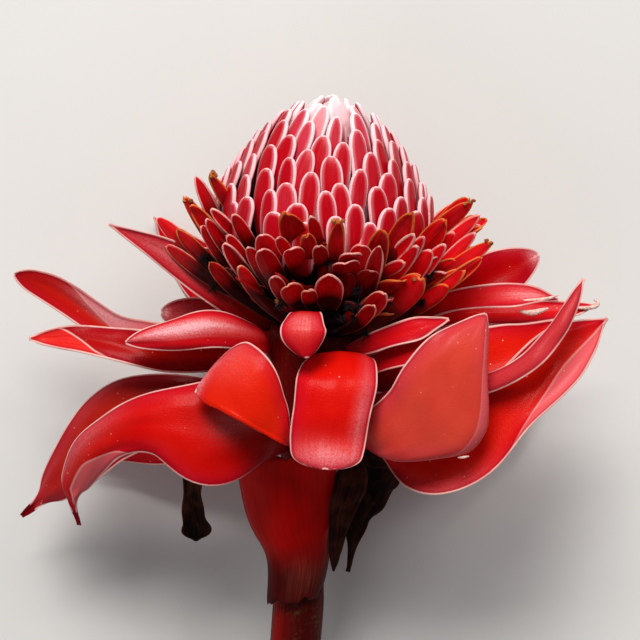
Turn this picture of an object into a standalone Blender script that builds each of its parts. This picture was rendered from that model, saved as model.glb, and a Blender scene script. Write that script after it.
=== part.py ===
"""Torch ginger flower, cut with a length of its stem and laid down on a surface.

The flower rests on the rim of its cut stem and on two of its back bracts. Its axis rises from the
cut end towards the head. World axes: +X across the flower, +Y from the cut end towards the head,
+Z up, z = 0 the surface. Paths of the bracts are in millimetres from the head centre, the point
of the axis where the topmost involucral bracts are attached.
"""

import math
import random
from dataclasses import dataclass

import bmesh
import bpy
from mathutils import Vector

MM = 0.001
GAP = 0.3  # between touching pieces, mm

# Pose of the flower on the surface
STEM_RADIUS = 8.2
STEM_LENGTH = 215.0  # from the head centre to the cut, along the axis
RISE = math.radians(15.0)  # of the axis above the surface
LEAN = math.radians(4.5)  # of the axis to the right of +Y
HEAD_HEIGHT = STEM_LENGTH * math.sin(RISE) + STEM_RADIUS * math.cos(RISE)
HEAD_AT = Vector((4.3, 65.9, HEAD_HEIGHT))
PATHS_AT = HEAD_AT + Vector((1.0, 0.0, 0.0))  # from which the bracts' paths are measured

AXIS = Vector((math.sin(LEAN) * math.cos(RISE), math.cos(LEAN) * math.cos(RISE), math.sin(RISE)))
UPPER = (Vector((0.0, 0.0, 1.0)) - AXIS * AXIS.z).normalized()
SIDE = AXIS.cross(UPPER)

# Receptacle: the stem's swollen top, which carries the involucral bracts
RECEPTACLE_RADIUS = 17.0
RECEPTACLE_FROM = -62.0
RECEPTACLE_FULL = -6.0
RECEPTACLE_TOP = 2.0
STEM_SIDES = 20

# Head of closed floral bracts
DOME_TOP = 81.0
DOME_FOOT = 45.0
DOME_RADIUS = 36.5
DOME_POWER = 0.55
DOME_BRACTS = 128
DOME_CORE_DEPTH = 7.5
DOME_LEAN = 0.35  # outward slope of the lowest closed bracts
BRACT_LENGTH = 22.0
BRACT_WIDTH = 6.8
BRACT_THICKNESS = 3.0
BRACT_BULGE = 0.6

# Ring of spent floral bracts
RING_TOP = 16.0
RING_CORE_RADIUS = 18.0
RING_BRACTS = 104
RING_CEILING = 50.0  # height of the uppermost tips
RING_FLOOR = 13.0  # height of the lowest tips, above and below the axis
RING_FLOOR_RISE = 12.0  # how much higher they are at the sides
NOTCH_AT = math.radians(-8.0)  # where the small front bract comes out under the ring
NOTCH_HALF = math.radians(14.0)
NOTCH_RISE = 13.0
RING_WIDTH = 9.0
RING_BLADE = 1.8
GOLDEN_ANGLE = math.radians(137.508)
TONGUE_BLUNTNESS = 0.45  # a lower power makes the tips of both kinds of floral bract rounder

BLADE = 1.4  # thickness of an involucral bract
TIP_WIDTH = 1.6  # least width at a blade's tip
TIP_CROWDING = 1.3  # how much closer together the rows of a blade are towards its tip


def along_axis(height: float) -> Vector:
    """Point of the flower's axis at this height above the head centre."""
    return HEAD_AT + AXIS * height


def outward(azimuth: float) -> Vector:
    """Direction square to the axis, 0 towards the upper side and growing to the right."""
    return UPPER * math.cos(azimuth) + SIDE * math.sin(azimuth)


def around(azimuth: float, radius: float, height: float) -> Vector:
    """Point at this azimuth, distance from the axis and height along it."""
    return along_axis(height) + outward(azimuth) * radius


def smooth(share: float) -> float:
    """Eased step from 0 to 1."""
    share = min(max(share, 0.0), 1.0)
    return share * share * (3.0 - 2.0 * share)


def receptacle_radius(height: float) -> float:
    """Radius of the stem and its swollen top."""
    share = (height - RECEPTACLE_FROM) / (RECEPTACLE_FULL - RECEPTACLE_FROM)
    return STEM_RADIUS + (RECEPTACLE_RADIUS - STEM_RADIUS) * smooth(share)


def dome_radius(height: float) -> float:
    """Radius of the surface on which the tips of the closed floral bracts lie."""
    share = max(DOME_TOP - height, 0.0) / (DOME_TOP - DOME_FOOT)
    return DOME_RADIUS * share**DOME_POWER


def spline(points: list[Vector], share: float) -> Vector:
    """Point of a smooth curve through all the points, at 0 the first and at 1 the last."""
    last = len(points) - 1
    place = min(max(share, 0.0), 1.0) * last
    first = min(int(place), last - 1)
    t = place - first
    b, c = points[first], points[first + 1]
    a = points[first - 1] if first else b * 2.0 - c
    d = points[first + 2] if first + 2 <= last else c * 2.0 - b
    return 0.5 * (
        b * 2.0 + (c - a) * t + (a * 2.0 - b * 5.0 + c * 4.0 - d) * t * t + (b * 3.0 - a - c * 3.0 + d) * t**3
    )


@dataclass(frozen=True)
class Blade:
    """One leaf-like piece: a path, a width at each point of it and the way its face is turned.

    root is the azimuth in degrees and the height at which it leaves the receptacle. path goes on
    from there to the tip. widths has one value more than path, for the root. across holds
    directions from the blade's left margin to its right one, from root to tip. cup is the angle,
    in degrees, by which each half bends up towards the face, at root and tip. curl bends one
    margin further: its side (-1 or 1), where it starts and its angle in degrees. cap is the share
    of the length that is rounded off at the tip.
    """

    name: str
    root: tuple[float, float]
    path: tuple[tuple[float, float, float], ...]
    widths: tuple[float, ...]
    across: tuple[tuple[float, float, float], ...]
    cup: tuple[float, float] = (20.0, 20.0)
    curl: tuple[float, float, float] = (1.0, 0.6, 0.0)
    cap: float = 0.08
    thickness: float = BLADE
    segments: tuple[int, int] = (9, 4)
    colour: str = "bract_red"

    def turn(self, tangent: Vector, along: float) -> tuple[Vector, Vector]:
        """Directions of the width and of the face at this share of the length."""
        turned = spline([Vector(v).normalized() for v in self.across], along) if len(self.across) > 1 else Vector(self.across[0])
        wide = (turned - tangent * turned.dot(tangent)).normalized()
        return wide, wide.cross(tangent)

    def points(self) -> list[Vector]:
        """Points of the centre line, the first one just off the receptacle."""
        azimuth, height = math.radians(self.root[0]), self.root[1]
        away = outward(azimuth)
        start = around(azimuth, receptacle_radius(height), height)
        first = PATHS_AT + Vector(self.path[0])
        for _ in range(3):
            wide, face = self.turn((first - start).normalized(), 0.0)
            clear = GAP + self.thickness / 2 * abs(face.dot(away))
            short = 0.0
            for step in range(-4, 5):
                place, rise = self.section(step / 4, math.radians(self.cup[0]))
                edge = start + (wide * place + face * rise) * (self.widths[0] / 2) - HEAD_AT
                level = edge.dot(AXIS)
                short = max(short, receptacle_radius(level) + clear - (edge - AXIS * level).length)
            start += away * short
        return [start, first] + [PATHS_AT + Vector(point) for point in self.path[1:]]

    def half_width(self, along: float) -> float:
        """Half the width: a smooth curve through the widths, rounded off at the tip."""
        last = len(self.widths) - 1
        width = spline([Vector((w, 0.0, 0.0)) for w in self.widths], along).x
        rest = max((along - (1.0 - self.cap)) / self.cap, 0.0)
        width *= math.sqrt(max(1.0 - rest * rest, 0.0))
        return max(width, min(self.widths[last], TIP_WIDTH)) / 2.0

    def section(self, across: float, bend: float) -> tuple[float, float]:
        """Place across the blade and above it, as shares of the half width."""
        side, start, angle = self.curl
        steps = 12
        place, rise = 0.0, 0.0
        for step in range(steps):
            at = across * (step + 0.5) / steps
            extra = max(at * side - start, 0.0) / (1.0 - start)
            heading = bend * at + side * math.radians(angle) * extra
            place += across / steps * math.cos(heading)
            rise += across / steps * math.sin(heading)
        return place, rise

    def surface(self, across: float, along: float) -> Vector:
        """Point of the blade's middle surface: across from -1 to 1, along from 0 to 1."""
        points = self.points()
        before, after = max(along - 0.01, 0.0), min(along + 0.01, 1.0)
        tangent = (spline(points, after) - spline(points, before)).normalized()
        wide, face = self.turn(tangent, along)
        bend = math.radians(self.cup[0] + (self.cup[1] - self.cup[0]) * along)
        place, rise = self.section(across, bend)
        half = self.half_width(along)
        return spline(points, along) + wide * (place * half) + face * (rise * half)


FRONT_BRACTS = (
    Blade(
        "bract_front_centre",
        (4.0, -8.0),
        ((5.4, -7.4, 32.0), (4.6, -15.5, 45.0), (2.8, -27.0, 48.5), (1.4, -36.0, 46.0), (0.6, -44.4, 41.0)),
        (12.0, 21.0, 26.4, 25.6, 24.8, 22.0),
        ((-1.0, 0.0, 0.0), (-1.0, 0.0, 0.0), (-0.98, -0.2, 0.0)),
        cup=(-14.0, -24.0),
        cap=0.12,
    ),
    Blade(
        "bract_front_small",
        (-17.0, -1.0),
        ((-5.2, 4.4, 36.0), (-5.8, 5.2, 46.0), (-6.4, 0.4, 51.5), (-5.2, -8.8, 50.0)),
        (5.0, 7.0, 10.5, 12.6, 9.0),
        ((-1.0, 0.0, 0.0),),
        cup=(10.0, -34.0),
        cap=0.2,
        segments=(8, 4),
    ),
    Blade(
        "bract_front_left_reflexed",
        (-24.0, -18.0),
        ((-11.0, -32.5, 33.0), (-16.4, -22.6, 41.0), (-23.6, -16.0, 43.5), (-31.0, -13.6, 41.5), (-38.0, -17.8, 36.0)),
        (8.0, 12.0, 16.5, 20.5, 17.5, 4.0),
        ((0.9, 0.4, 0.0), (0.7, 0.7, 0.1), (0.2, 1.0, 0.1), (-0.3, 1.0, 0.1)),
        cup=(-12.0, -20.0),
        curl=(-1.0, 0.5, -60.0),
        cap=0.12,
    ),
    Blade(
        "bract_front_left_long",
        (-26.0, -34.0),
        (
            (-18.5, -32.5, 22.0),
            (-36.0, -33.0, 31.0),
            (-55.0, -30.0, 30.0),
            (-69.0, -33.5, 24.0),
            (-79.0, -41.5, 15.0),
            (-84.0, -52.0, 5.0),
            (-83.4, -65.2, -5.0),
        ),
        (9.0, 22.0, 36.0, 22.0, 14.5, 13.0, 9.0, 1.3),
        ((0.0, 1.0, 0.0), (0.0, 1.0, -0.1), (-0.4, 0.9, 0.0), (-0.9, 0.4, 0.2)),
        cup=(-14.0, -46.0),
        segments=(13, 4),
    ),
    Blade(
        "bract_front_right_erect",
        (34.0, -26.0),
        ((17.5, -32.5, 32.0), (28.0, -30.0, 41.0), (37.4, -21.8, 45.0), (44.8, -9.4, 45.5), (51.4, 5.2, 41.0)),
        (10.0, 23.0, 31.0, 35.0, 27.0, 3.0),
        ((0.2, -1.0, 0.1), (0.45, -0.9, 0.0), (0.7, -0.7, 0.0), (0.95, -0.3, 0.0)),
        cup=(-18.0, -34.0),
        curl=(1.0, 0.55, -55.0),
        cap=0.05,
        segments=(10, 4),
    ),
    Blade(
        "bract_right_boat",
        (58.0, -38.0),
        ((18.0, -37.0, 6.0), (32.7, -41.0, 18.6), (46.4, -35.0, 25.0), (62.0, -22.4, 26.0), (78.3, -6.3, 23.0), (93.6, 3.9, 18.0)),
        (8.0, 14.0, 21.0, 26.0, 21.0, 17.0, 1.6),
        ((0.1, -1.0, 0.1), (0.5, -0.85, 0.1), (0.7, -0.7, 0.1)),
        cup=(16.0, 24.0),
        curl=(1.0, 0.6, 70.0),
        segments=(11, 4),
    ),
)

SIDE_BRACTS = (
    Blade(
        "bract_left_rolled",
        (-62.0, -5.0),
        ((-20.0, -4.8, 18.0), (-34.4, -2.6, 23.0), (-49.0, -3.6, 23.0), (-62.5, -5.0, 18.5)),
        (7.0, 9.0, 13.0, 14.0, 11.0),
        ((0.0, 1.0, 0.2), (0.0, 1.0, 0.5), (-0.2, 1.0, 0.3)),
        cup=(20.0, 46.0),
        cap=0.2,
    ),
    Blade(
        "bract_left_twisted",
        (-84.0, -12.0),
        ((-28.0, -7.4, 5.0), (-50.0, -7.4, 8.0), (-68.4, -5.0, 7.0), (-85.0, -2.4, 4.0), (-98.3, -2.6, 2.0)),
        (7.0, 12.0, 14.0, 12.0, 8.5, 1.3),
        ((0.0, 1.0, 0.1), (0.0, 1.0, 0.3), (0.0, 0.9, -0.5), (0.0, 1.0, -0.3)),
        cup=(16.0, 34.0),
    ),
    Blade(
        "bract_left_narrow",
        (-103.0, -8.0),
        ((-40.0, -3.0, -11.0), (-57.5, -3.0, -13.0), (-71.0, 0.2, -12.0), (-89.0, 12.6, -9.0), (-104.0, 19.2, -6.0)),
        (6.0, 9.0, 11.0, 11.5, 10.0, 1.3),
        ((0.0, 1.0, 0.3), (0.3, 1.0, 0.2), (0.4, 0.9, 0.4)),
        cup=(20.0, 40.0),
        segments=(9, 2),
    ),
    Blade(
        "bract_left_ascending",
        (-118.0, -1.0),
        ((-23.0, 4.6, -8.0), (-38.4, 15.4, -7.0), (-52.0, 25.8, -3.0), (-71.6, 35.4, 2.0)),
        (6.0, 9.0, 11.5, 10.5, 1.3),
        ((0.5, 0.8, 0.2),),
        cup=(16.0, 30.0),
        segments=(8, 2),
    ),
    Blade(
        "bract_left_back_small",
        (-137.0, -9.0),
        ((-26.0, 0.0, -23.0), (-41.0, 3.2, -27.0), (-55.0, 6.0, -26.0)),
        (6.0, 8.0, 10.5, 9.0),
        ((0.2, 1.0, 0.2),),
        cap=0.3,
        segments=(6, 2),
    ),
    Blade(
        "bract_left_low",
        (-90.0, -31.0),
        (
            (-38.0, -26.5, -3.0),
            (-60.0, -27.0, -3.0),
            (-73.0, -32.0, -7.0),
            (-83.0, -43.0, -14.0),
            (-93.0, -54.0, -23.0),
            (-104.0, -64.0, -31.0),
        ),
        (8.0, 20.0, 26.0, 27.0, 21.0, 12.0, 1.3),
        ((0.0, 1.0, -0.1), (-0.2, 1.0, -0.2), (-0.6, 0.7, -0.2), (-0.8, 0.5, 0.0)),
        cup=(-12.0, -30.0),
        segments=(11, 4),
    ),
    Blade(
        "bract_right_small_upper",
        (30.0, -3.0),
        ((18.0, -3.4, 27.0), (30.0, 0.4, 31.0), (41.0, 3.6, 30.0)),
        (5.0, 7.0, 8.0, 1.3),
        ((0.2, -1.0, 0.2),),
        cup=(24.0, 30.0),
        segments=(6, 2),
    ),
    Blade(
        "bract_right_small_lower",
        (45.0, -10.0),
        ((22.0, -9.0, 24.0), (34.0, -4.5, 27.0), (46.0, -0.5, 25.0)),
        (5.0, 8.0, 9.0, 1.3),
        ((0.2, -1.0, 0.2),),
        cup=(20.0, 30.0),
        segments=(6, 2),
    ),
    Blade(
        "bract_right_inner",
        (66.0, -13.0),
        ((28.0, -13.5, 12.0), (49.4, -12.5, 17.0), (65.8, -6.5, 16.0), (78.0, 3.6, 13.0)),
        (9.0, 17.0, 25.0, 20.0, 1.3),
        ((0.1, -1.0, 0.3), (0.3, -1.0, 0.1)),
        cup=(12.0, 20.0),
    ),
    Blade(
        "bract_right_upright",
        (66.0, -26.0),
        ((31.0, -21.8, 27.4), (53.0, -19.4, 34.0), (66.0, -12.4, 36.5), (74.2, -3.0, 36.0), (79.2, 6.4, 35.0), (84.6, 16.8, 31.0)),
        (9.0, 9.0, 8.5, 9.0, 9.0, 8.0, 1.2),
        ((0.5, -0.7, 0.5), (0.7, -0.6, 0.3), (0.85, -0.5, 0.2)),
        cup=(-20.0, -36.0),
        segments=(10, 2),
    ),
    Blade(
        "bract_right_long",
        (84.0, -3.0),
        ((36.0, 7.0, 7.0), (53.0, 10.4, 10.0), (68.0, 11.2, 10.0), (78.2, 10.2, 8.0)),
        (5.0, 8.0, 10.5, 9.0, 1.3),
        ((0.1, -1.0, 0.8),),
        cup=(20.0, 36.0),
        segments=(8, 2),
    ),
    Blade(
        "bract_right_hooked",
        (103.0, -12.0),
        ((40.0, 3.6, -9.0), (62.0, 5.4, -7.0), (79.0, 6.2, -6.0), (92.0, 8.4, -6.0)),
        (5.0, 8.0, 10.0, 8.0, 1.3),
        ((0.1, -1.0, 0.5),),
        cup=(20.0, 40.0),
        segments=(8, 2),
    ),
    Blade(
        "bract_right_back_broad",
        (128.0, -5.0),
        ((29.0, 1.5, -21.0), (43.0, 7.4, -26.0), (57.0, 13.8, -29.0), (72.0, 19.4, -29.0)),
        (7.0, 11.0, 15.0, 17.0, 13.0),
        ((0.35, -1.0, 0.1),),
        cup=(14.0, 16.0),
        cap=0.3,
    ),
)

BACK_BRACTS = (
    Blade(
        "bract_resting_left",
        (-160.0, -14.0),
        ((-16.0, -4.0, -41.0), (-31.0, 8.0, -56.5), (-46.0, 24.0, -61.7), (-60.0, 40.0, -60.0)),
        (10.0, 19.0, 25.0, 21.0, 1.5),
        ((0.7, 0.7, 0.3), (0.8, 0.6, 0.2)),
        cup=(14.0, 12.0),
    ),
    Blade(
        "bract_resting_right",
        (158.0, -14.0),
        ((17.0, -6.0, -41.0), (35.0, 1.5, -56.5), (54.0, 11.0, -61.9), (71.0, 22.0, -61.0)),
        (10.0, 19.0, 23.0, 17.0, 1.5),
        ((0.6, -0.8, 0.3), (0.5, -0.9, 0.2)),
        cup=(14.0, 12.0),
    ),
    Blade(
        "bract_back_centre",
        (178.0, -2.0),
        ((0.0, 7.0, -38.0), (1.0, 24.0, -51.0), (3.0, 44.0, -56.0), (5.0, 62.0, -53.0)),
        (11.0, 20.0, 27.0, 23.0, 1.5),
        ((1.0, 0.0, 0.0),),
        cup=(16.0, 14.0),
    ),
    Blade(
        "bract_back_left_low",
        (-126.0, -35.0),
        ((-27.0, -30.0, -30.0), (-47.0, -34.0, -42.0), (-66.0, -38.0, -50.0), (-83.0, -45.0, -53.0)),
        (9.0, 19.0, 25.0, 20.0, 1.3),
        ((-0.2, 1.0, 0.0),),
        cup=(-10.0, -20.0),
    ),
    Blade(
        "bract_back_right_low",
        (128.0, -34.0),
        ((27.0, -34.0, -28.0), (45.0, -33.0, -41.0), (62.0, -25.0, -49.0), (76.0, -13.0, -52.0)),
        (9.0, 19.0, 25.0, 20.0, 1.3),
        ((0.3, -1.0, 0.0),),
        cup=(12.0, 20.0),
    ),
    Blade(
        "bract_back_right_inner",
        (150.0, -6.0),
        ((20.0, 6.0, -36.0), (36.0, 15.0, -42.0), (52.0, 23.0, -43.0)),
        (7.0, 13.0, 17.0, 1.5),
        ((0.5, -0.8, 0.2),),
        segments=(7, 2),
    ),
    Blade(
        "bract_back_left_inner",
        (-150.0, -4.0),
        ((-20.0, 8.0, -36.0), (-35.0, 17.0, -42.0), (-51.0, 25.0, -43.0)),
        (7.0, 13.0, 17.0, 1.5),
        ((0.5, 0.8, 0.2),),
        segments=(7, 2),
    ),
    Blade(
        "bract_back_hanging",
        (179.0, -42.0),
        ((-3.0, -47.0, -32.0), (-5.0, -60.0, -42.0), (-8.0, -72.0, -51.0)),
        (9.0, 17.0, 20.0, 1.5),
        ((-1.0, 0.0, 0.0),),
        segments=(7, 2),
    ),
)

SHEATHS = (
    Blade(
        "stem_sheath",
        (-8.0, -93.0),
        ((-8.4, -80.0, -10.4), (-10.0, -70.5, -6.0), (-11.8, -60.0, -1.4), (-12.5, -50.5, 4.0), (-12.3, -43.0, 8.6)),
        (29.8, 30.8, 33.8, 37.4, 39.0, 38.0),
        ((1.0, 0.0, 0.0),),
        cup=(-76.0, -50.0),
        cap=0.1,
        segments=(7, 6),
        colour="sheath_red",
    ),
    Blade(
        "withered_sheath",
        (82.0, -43.0),
        ((10.6, -50.5, -6.0), (8.9, -59.0, -7.0), (6.5, -70.0, -9.0), (4.8, -82.0, -12.5)),
        (5.0, 12.0, 9.4, 4.6, 1.3),
        ((-1.0, 0.0, -0.2),),
        cup=(-10.0, -10.0),
        segments=(7, 2),
        colour="withered_brown",
    ),
    Blade(
        "withered_bract_right",
        (98.0, -41.0),
        ((21.0, -44.5, -16.0), (17.6, -52.0, -20.5), (14.0, -60.5, -22.5), (11.0, -68.0, -23.4), (8.3, -83.0, -24.0)),
        (5.0, 10.0, 11.5, 8.0, 5.0, 1.3),
        ((0.1, -1.0, 0.2), (0.8, -0.6, 0.2), (0.9, -0.4, 0.1)),
        cup=(20.0, 50.0),
        segments=(9, 2),
        colour="withered_brown",
    ),
    Blade(
        "withered_bract_left",
        (-104.0, -42.0),
        ((-27.0, -40.0, -15.0), (-40.0, -41.5, -15.0), (-44.0, -50.0, -15.0), (-44.2, -60.0, -16.0), (-43.8, -67.5, -17.0), (-44.2, -73.0, -17.0)),
        (5.0, 6.0, 7.0, 8.0, 6.0, 10.0, 4.0),
        ((0.0, 1.0, 0.2), (-0.6, 0.8, 0.1), (-1.0, 0.0, 0.0)),
        cup=(20.0, 60.0),
        segments=(11, 2),
        colour="withered_brown",
    ),
)

COLOURS = {
    "bract_red": ((0.55, 0.01, 0.015), 0.32),
    "sheath_red": ((0.28, 0.012, 0.01), 0.42),
    "withered_brown": ((0.035, 0.02, 0.012), 0.85),
    "floral_pink": ((0.62, 0.03, 0.06), 0.35),
    "floral_dark": ((0.3, 0.008, 0.012), 0.45),
    "stem_maroon": ((0.12, 0.02, 0.012), 0.5),
}


def material(name: str) -> bpy.types.Material:
    """The named colour as a Principled material, made once."""
    if name in bpy.data.materials:
        return bpy.data.materials[name]
    made = bpy.data.materials.new(name)
    made.use_nodes = True
    shader = made.node_tree.nodes["Principled BSDF"]
    colour, roughness = COLOURS[name]
    shader.inputs["Base Color"].default_value = (*colour, 1.0)
    shader.inputs["Roughness"].default_value = roughness
    return made


def add_object(name: str, mesh: bpy.types.Mesh, home: bpy.types.Collection, colour: str) -> bpy.types.Object:
    """A new object of this mesh in the collection, smooth shaded."""
    made = bpy.data.objects.new(name, mesh)
    mesh.materials.append(material(colour))
    mesh.shade_smooth()
    mesh.set_sharp_from_angle(angle=math.radians(50.0))
    home.objects.link(made)
    return made


def mesh_of(name: str, shape: bmesh.types.BMesh) -> bpy.types.Mesh:
    """Writes the bmesh, still in millimetres, to a mesh in metres and frees it."""
    bmesh.ops.scale(shape, vec=(MM, MM, MM), verts=shape.verts)
    mesh = bpy.data.meshes.new(name)
    shape.to_mesh(mesh)
    shape.free()
    return mesh


def blade_sheet(blade: Blade) -> bmesh.types.BMesh:
    """The blade's middle surface: a grid whose points are moved onto it, cut into triangles."""
    shape = bmesh.new()
    length, width = blade.segments
    bmesh.ops.create_grid(shape, x_segments=width, y_segments=length, size=1.0)
    for vert in shape.verts:
        vert.co = blade.surface(vert.co.x, 1.0 - ((1.0 - vert.co.y) / 2.0) ** TIP_CROWDING)
    bmesh.ops.triangulate(shape, faces=shape.faces)
    return shape


def add_blade(blade: Blade, home: bpy.types.Collection) -> bpy.types.Object:
    """One blade as an object: its sheet thickened evenly to both sides."""
    made = add_object(blade.name, mesh_of(blade.name, blade_sheet(blade)), home, blade.colour)
    wall = made.modifiers.new("wall", "SOLIDIFY")
    wall.thickness = blade.thickness * MM
    wall.offset = 0.0
    return made


def turned(name: str, profile: list[tuple[float, float]], sides: int) -> bmesh.types.BMesh:
    """A solid turned about the flower's axis from (radius, height) points, closed at both ends."""
    shape = bmesh.new()
    rings = []
    for radius, height in profile:
        made = bmesh.ops.create_circle(shape, cap_ends=False, segments=sides, radius=1.0)
        for index, vert in enumerate(made["verts"]):
            vert.co = around(math.tau * index / sides, radius, height)
        rings.append(list({edge for vert in made["verts"] for edge in vert.link_edges}))
    for low, high in zip(rings, rings[1:]):
        bmesh.ops.bridge_loops(shape, edges=low + high)
    bmesh.ops.holes_fill(shape, edges=rings[0] + rings[-1], sides=sides)
    bmesh.ops.recalc_face_normals(shape, faces=shape.faces)
    return shape


def add_stem(home: bpy.types.Collection) -> bpy.types.Object:
    """Stem and receptacle, one turned solid from the cut to the foot of the head."""
    heights = [-STEM_LENGTH, -140.0, RECEPTACLE_FROM, -48.0, -36.0, -24.0, RECEPTACLE_FULL, RECEPTACLE_TOP]
    profile = [(receptacle_radius(height), height) for height in heights]
    return add_object("stem", mesh_of("stem", turned("stem", profile, STEM_SIDES)), home, "stem_maroon")


def keep_outer_shell(mesh: bpy.types.Mesh) -> None:
    """Fills the pockets that the repeats enclose, by removing every shell but the one with most in it."""
    shape = bmesh.new()
    shape.from_mesh(mesh)
    shells = []
    left = set(shape.faces)
    while left:
        shell, front = set(), [left.pop()]
        while front:
            face = front.pop()
            shell.add(face)
            near = {other for edge in face.edges for other in edge.link_faces} & left
            left -= near
            front.extend(near)
        shells.append(shell)
    shells.sort(key=lambda faces: sum(f.calc_center_median().dot(f.normal) * f.calc_area() for f in faces))
    for shell in shells[:-1]:
        bmesh.ops.delete(shape, geom=list(shell), context="FACES")
    shape.to_mesh(mesh)
    shape.free()


def fuse(core: bpy.types.Object, repeats: bpy.types.Collection) -> None:
    """Joins every object of the collection to the core with one union, then removes them."""
    union = core.modifiers.new("fused", "BOOLEAN")
    union.operation = "UNION"
    union.operand_type = "COLLECTION"
    union.collection = repeats
    union.solver = "MANIFOLD"
    bpy.context.view_layer.update()
    evaluated = core.evaluated_get(bpy.context.evaluated_depsgraph_get())
    joined = bpy.data.meshes.new_from_object(evaluated)
    core.modifiers.clear()
    core.data = joined
    keep_outer_shell(joined)
    for extra in list(repeats.objects):
        bpy.data.objects.remove(extra)
    bpy.data.collections.remove(repeats)


def tongue(name: str, points: list[Vector], wide: Vector, width: float, thick: float) -> bpy.types.Mesh:
    """A flattened tongue with a round tip along the path, its width in the given direction."""
    shape = bmesh.new()
    bmesh.ops.create_uvsphere(shape, u_segments=6, v_segments=4, radius=1.0)
    for vert in shape.verts:
        x, y, z = vert.co
        along = ((z + 1.0) / 2.0) ** TONGUE_BLUNTNESS
        ahead = (spline(points, min(along + 0.05, 1.0)) - spline(points, max(along - 0.05, 0.0))).normalized()
        face = wide.cross(ahead).normalized()
        vert.co = spline(points, along) + wide * (x * width / 2) + face * (y * thick / 2)
    shape.normal_update()
    bmesh.ops.recalc_face_normals(shape, faces=shape.faces)
    return mesh_of(name, shape)


def closed_bract(index: int) -> bpy.types.Mesh:
    """One closed floral bract, upright, with its tip on the dome."""
    share = ((index + 0.5) / DOME_BRACTS) ** 0.8
    height = DOME_TOP - (DOME_TOP - DOME_FOOT) * share
    azimuth = index * GOLDEN_ANGLE
    away = outward(azimuth)
    upward = (AXIS + away * (DOME_LEAN * share**1.5)).normalized()
    length = BRACT_LENGTH * (1.0 - 0.35 * share**4)
    width = BRACT_WIDTH * (0.7 + 0.3 * smooth(share * 2.5))
    tip = around(azimuth, dome_radius(height), height) - away * BRACT_THICKNESS / 2
    middle = tip - upward * length / 2 + away * BRACT_BULGE
    return tongue("closed", [tip - upward * length, middle, tip], AXIS.cross(away), width, BRACT_THICKNESS)


def add_dome(parts: bpy.types.Collection) -> bpy.types.Object:
    """The closed floral bracts in their golden-angle spiral, fused to the core they stand on."""
    foot = RING_TOP + GAP
    heights = (40.0, 48.0, 56.0, 63.0, 69.0)
    profile = [(RING_CORE_RADIUS - 1.0, foot), (27.0, foot + 16.0)]
    profile += [(dome_radius(height) - DOME_CORE_DEPTH, height) for height in heights]
    profile.append((3.0, DOME_TOP - DOME_CORE_DEPTH))
    core = add_object("closed_floral_bracts", mesh_of("dome", turned("dome", profile, 16)), parts, "floral_pink")
    repeats = bpy.data.collections.new("closed bracts to fuse")
    bpy.context.scene.collection.children.link(repeats)
    for index in range(DOME_BRACTS):
        add_object(f"closed_{index}", closed_bract(index), repeats, "floral_pink")
    fuse(core, repeats)
    return core


def ring_floor(azimuth: float) -> float:
    """Height of the lowest tips of the ring: higher at the sides and over the small front bract."""
    turn = math.atan2(math.sin(azimuth - NOTCH_AT), math.cos(azimuth - NOTCH_AT)) / NOTCH_HALF
    return RING_FLOOR + RING_FLOOR_RISE * math.sin(azimuth) ** 2 + NOTCH_RISE * math.exp(-turn * turn)


def spent_bract(index: int, chance: random.Random) -> bpy.types.Mesh:
    """One spent floral bract: a strap that spreads from the ring's core."""
    share = (index + 0.5) / RING_BRACTS
    azimuth = (index + DOME_BRACTS) * GOLDEN_ANGLE
    away = outward(azimuth)
    reach = 46.0 + 9.0 * math.sin(math.pi * share**0.8) - 2.0 * share + chance.uniform(-2.5, 1.5)
    height = RING_CEILING + (ring_floor(azimuth) - RING_CEILING) * share**0.9 + chance.uniform(-1.5, 0.5)
    root = around(azimuth, RING_CORE_RADIUS - 4.0, 6.0 - 1.0 * share)
    tip = around(azimuth, reach, height)
    middle = (root + tip) / 2 - AXIS * 1.5 + away * 1.5
    return tongue("spent", [root, middle, tip], AXIS.cross(away), RING_WIDTH, RING_BLADE)


def add_ring(parts: bpy.types.Collection) -> bpy.types.Object:
    """The spent floral bracts, fused to the collar they stand on."""
    profile = [(RECEPTACLE_RADIUS, RECEPTACLE_TOP + GAP), (RING_CORE_RADIUS, 7.0), (RING_CORE_RADIUS, RING_TOP)]
    core = add_object("spent_floral_bracts", mesh_of("ring", turned("ring", profile, 16)), parts, "floral_dark")
    repeats = bpy.data.collections.new("spent bracts to fuse")
    bpy.context.scene.collection.children.link(repeats)
    chance = random.Random(7)
    for index in range(RING_BRACTS):
        add_object(f"spent_{index}", spent_bract(index, chance), repeats, "floral_dark")
    fuse(core, repeats)
    return core


def main() -> None:
    """Clears the scene and models the flower."""
    for obj in list(bpy.data.objects):
        bpy.data.objects.remove(obj)
    parts = bpy.data.collections.new("torch ginger flower")
    bpy.context.scene.collection.children.link(parts)
    add_stem(parts)
    add_dome(parts)
    add_ring(parts)
    for blade in FRONT_BRACTS + SIDE_BRACTS + BACK_BRACTS + SHEATHS:
        add_blade(blade, parts)


main()
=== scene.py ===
"""Torch ginger flower, dressed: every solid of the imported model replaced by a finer, finished piece.

The flower lies on a surface at z = 0. Its axis rises from the cut end of the stem to the head, +Y
runs from the cut end to the head, +X across it and +Z up. Sizes below are in millimetres, in the
flower's own frame: heights along its axis from the head centre, azimuths round the axis from its
upper side. Objects are in metres.
"""

import logging
import math
import random
from dataclasses import dataclass, replace
from enum import Enum
from functools import cached_property

import bmesh
import bpy
from mathutils import Matrix, Vector, kdtree, noise


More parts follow.
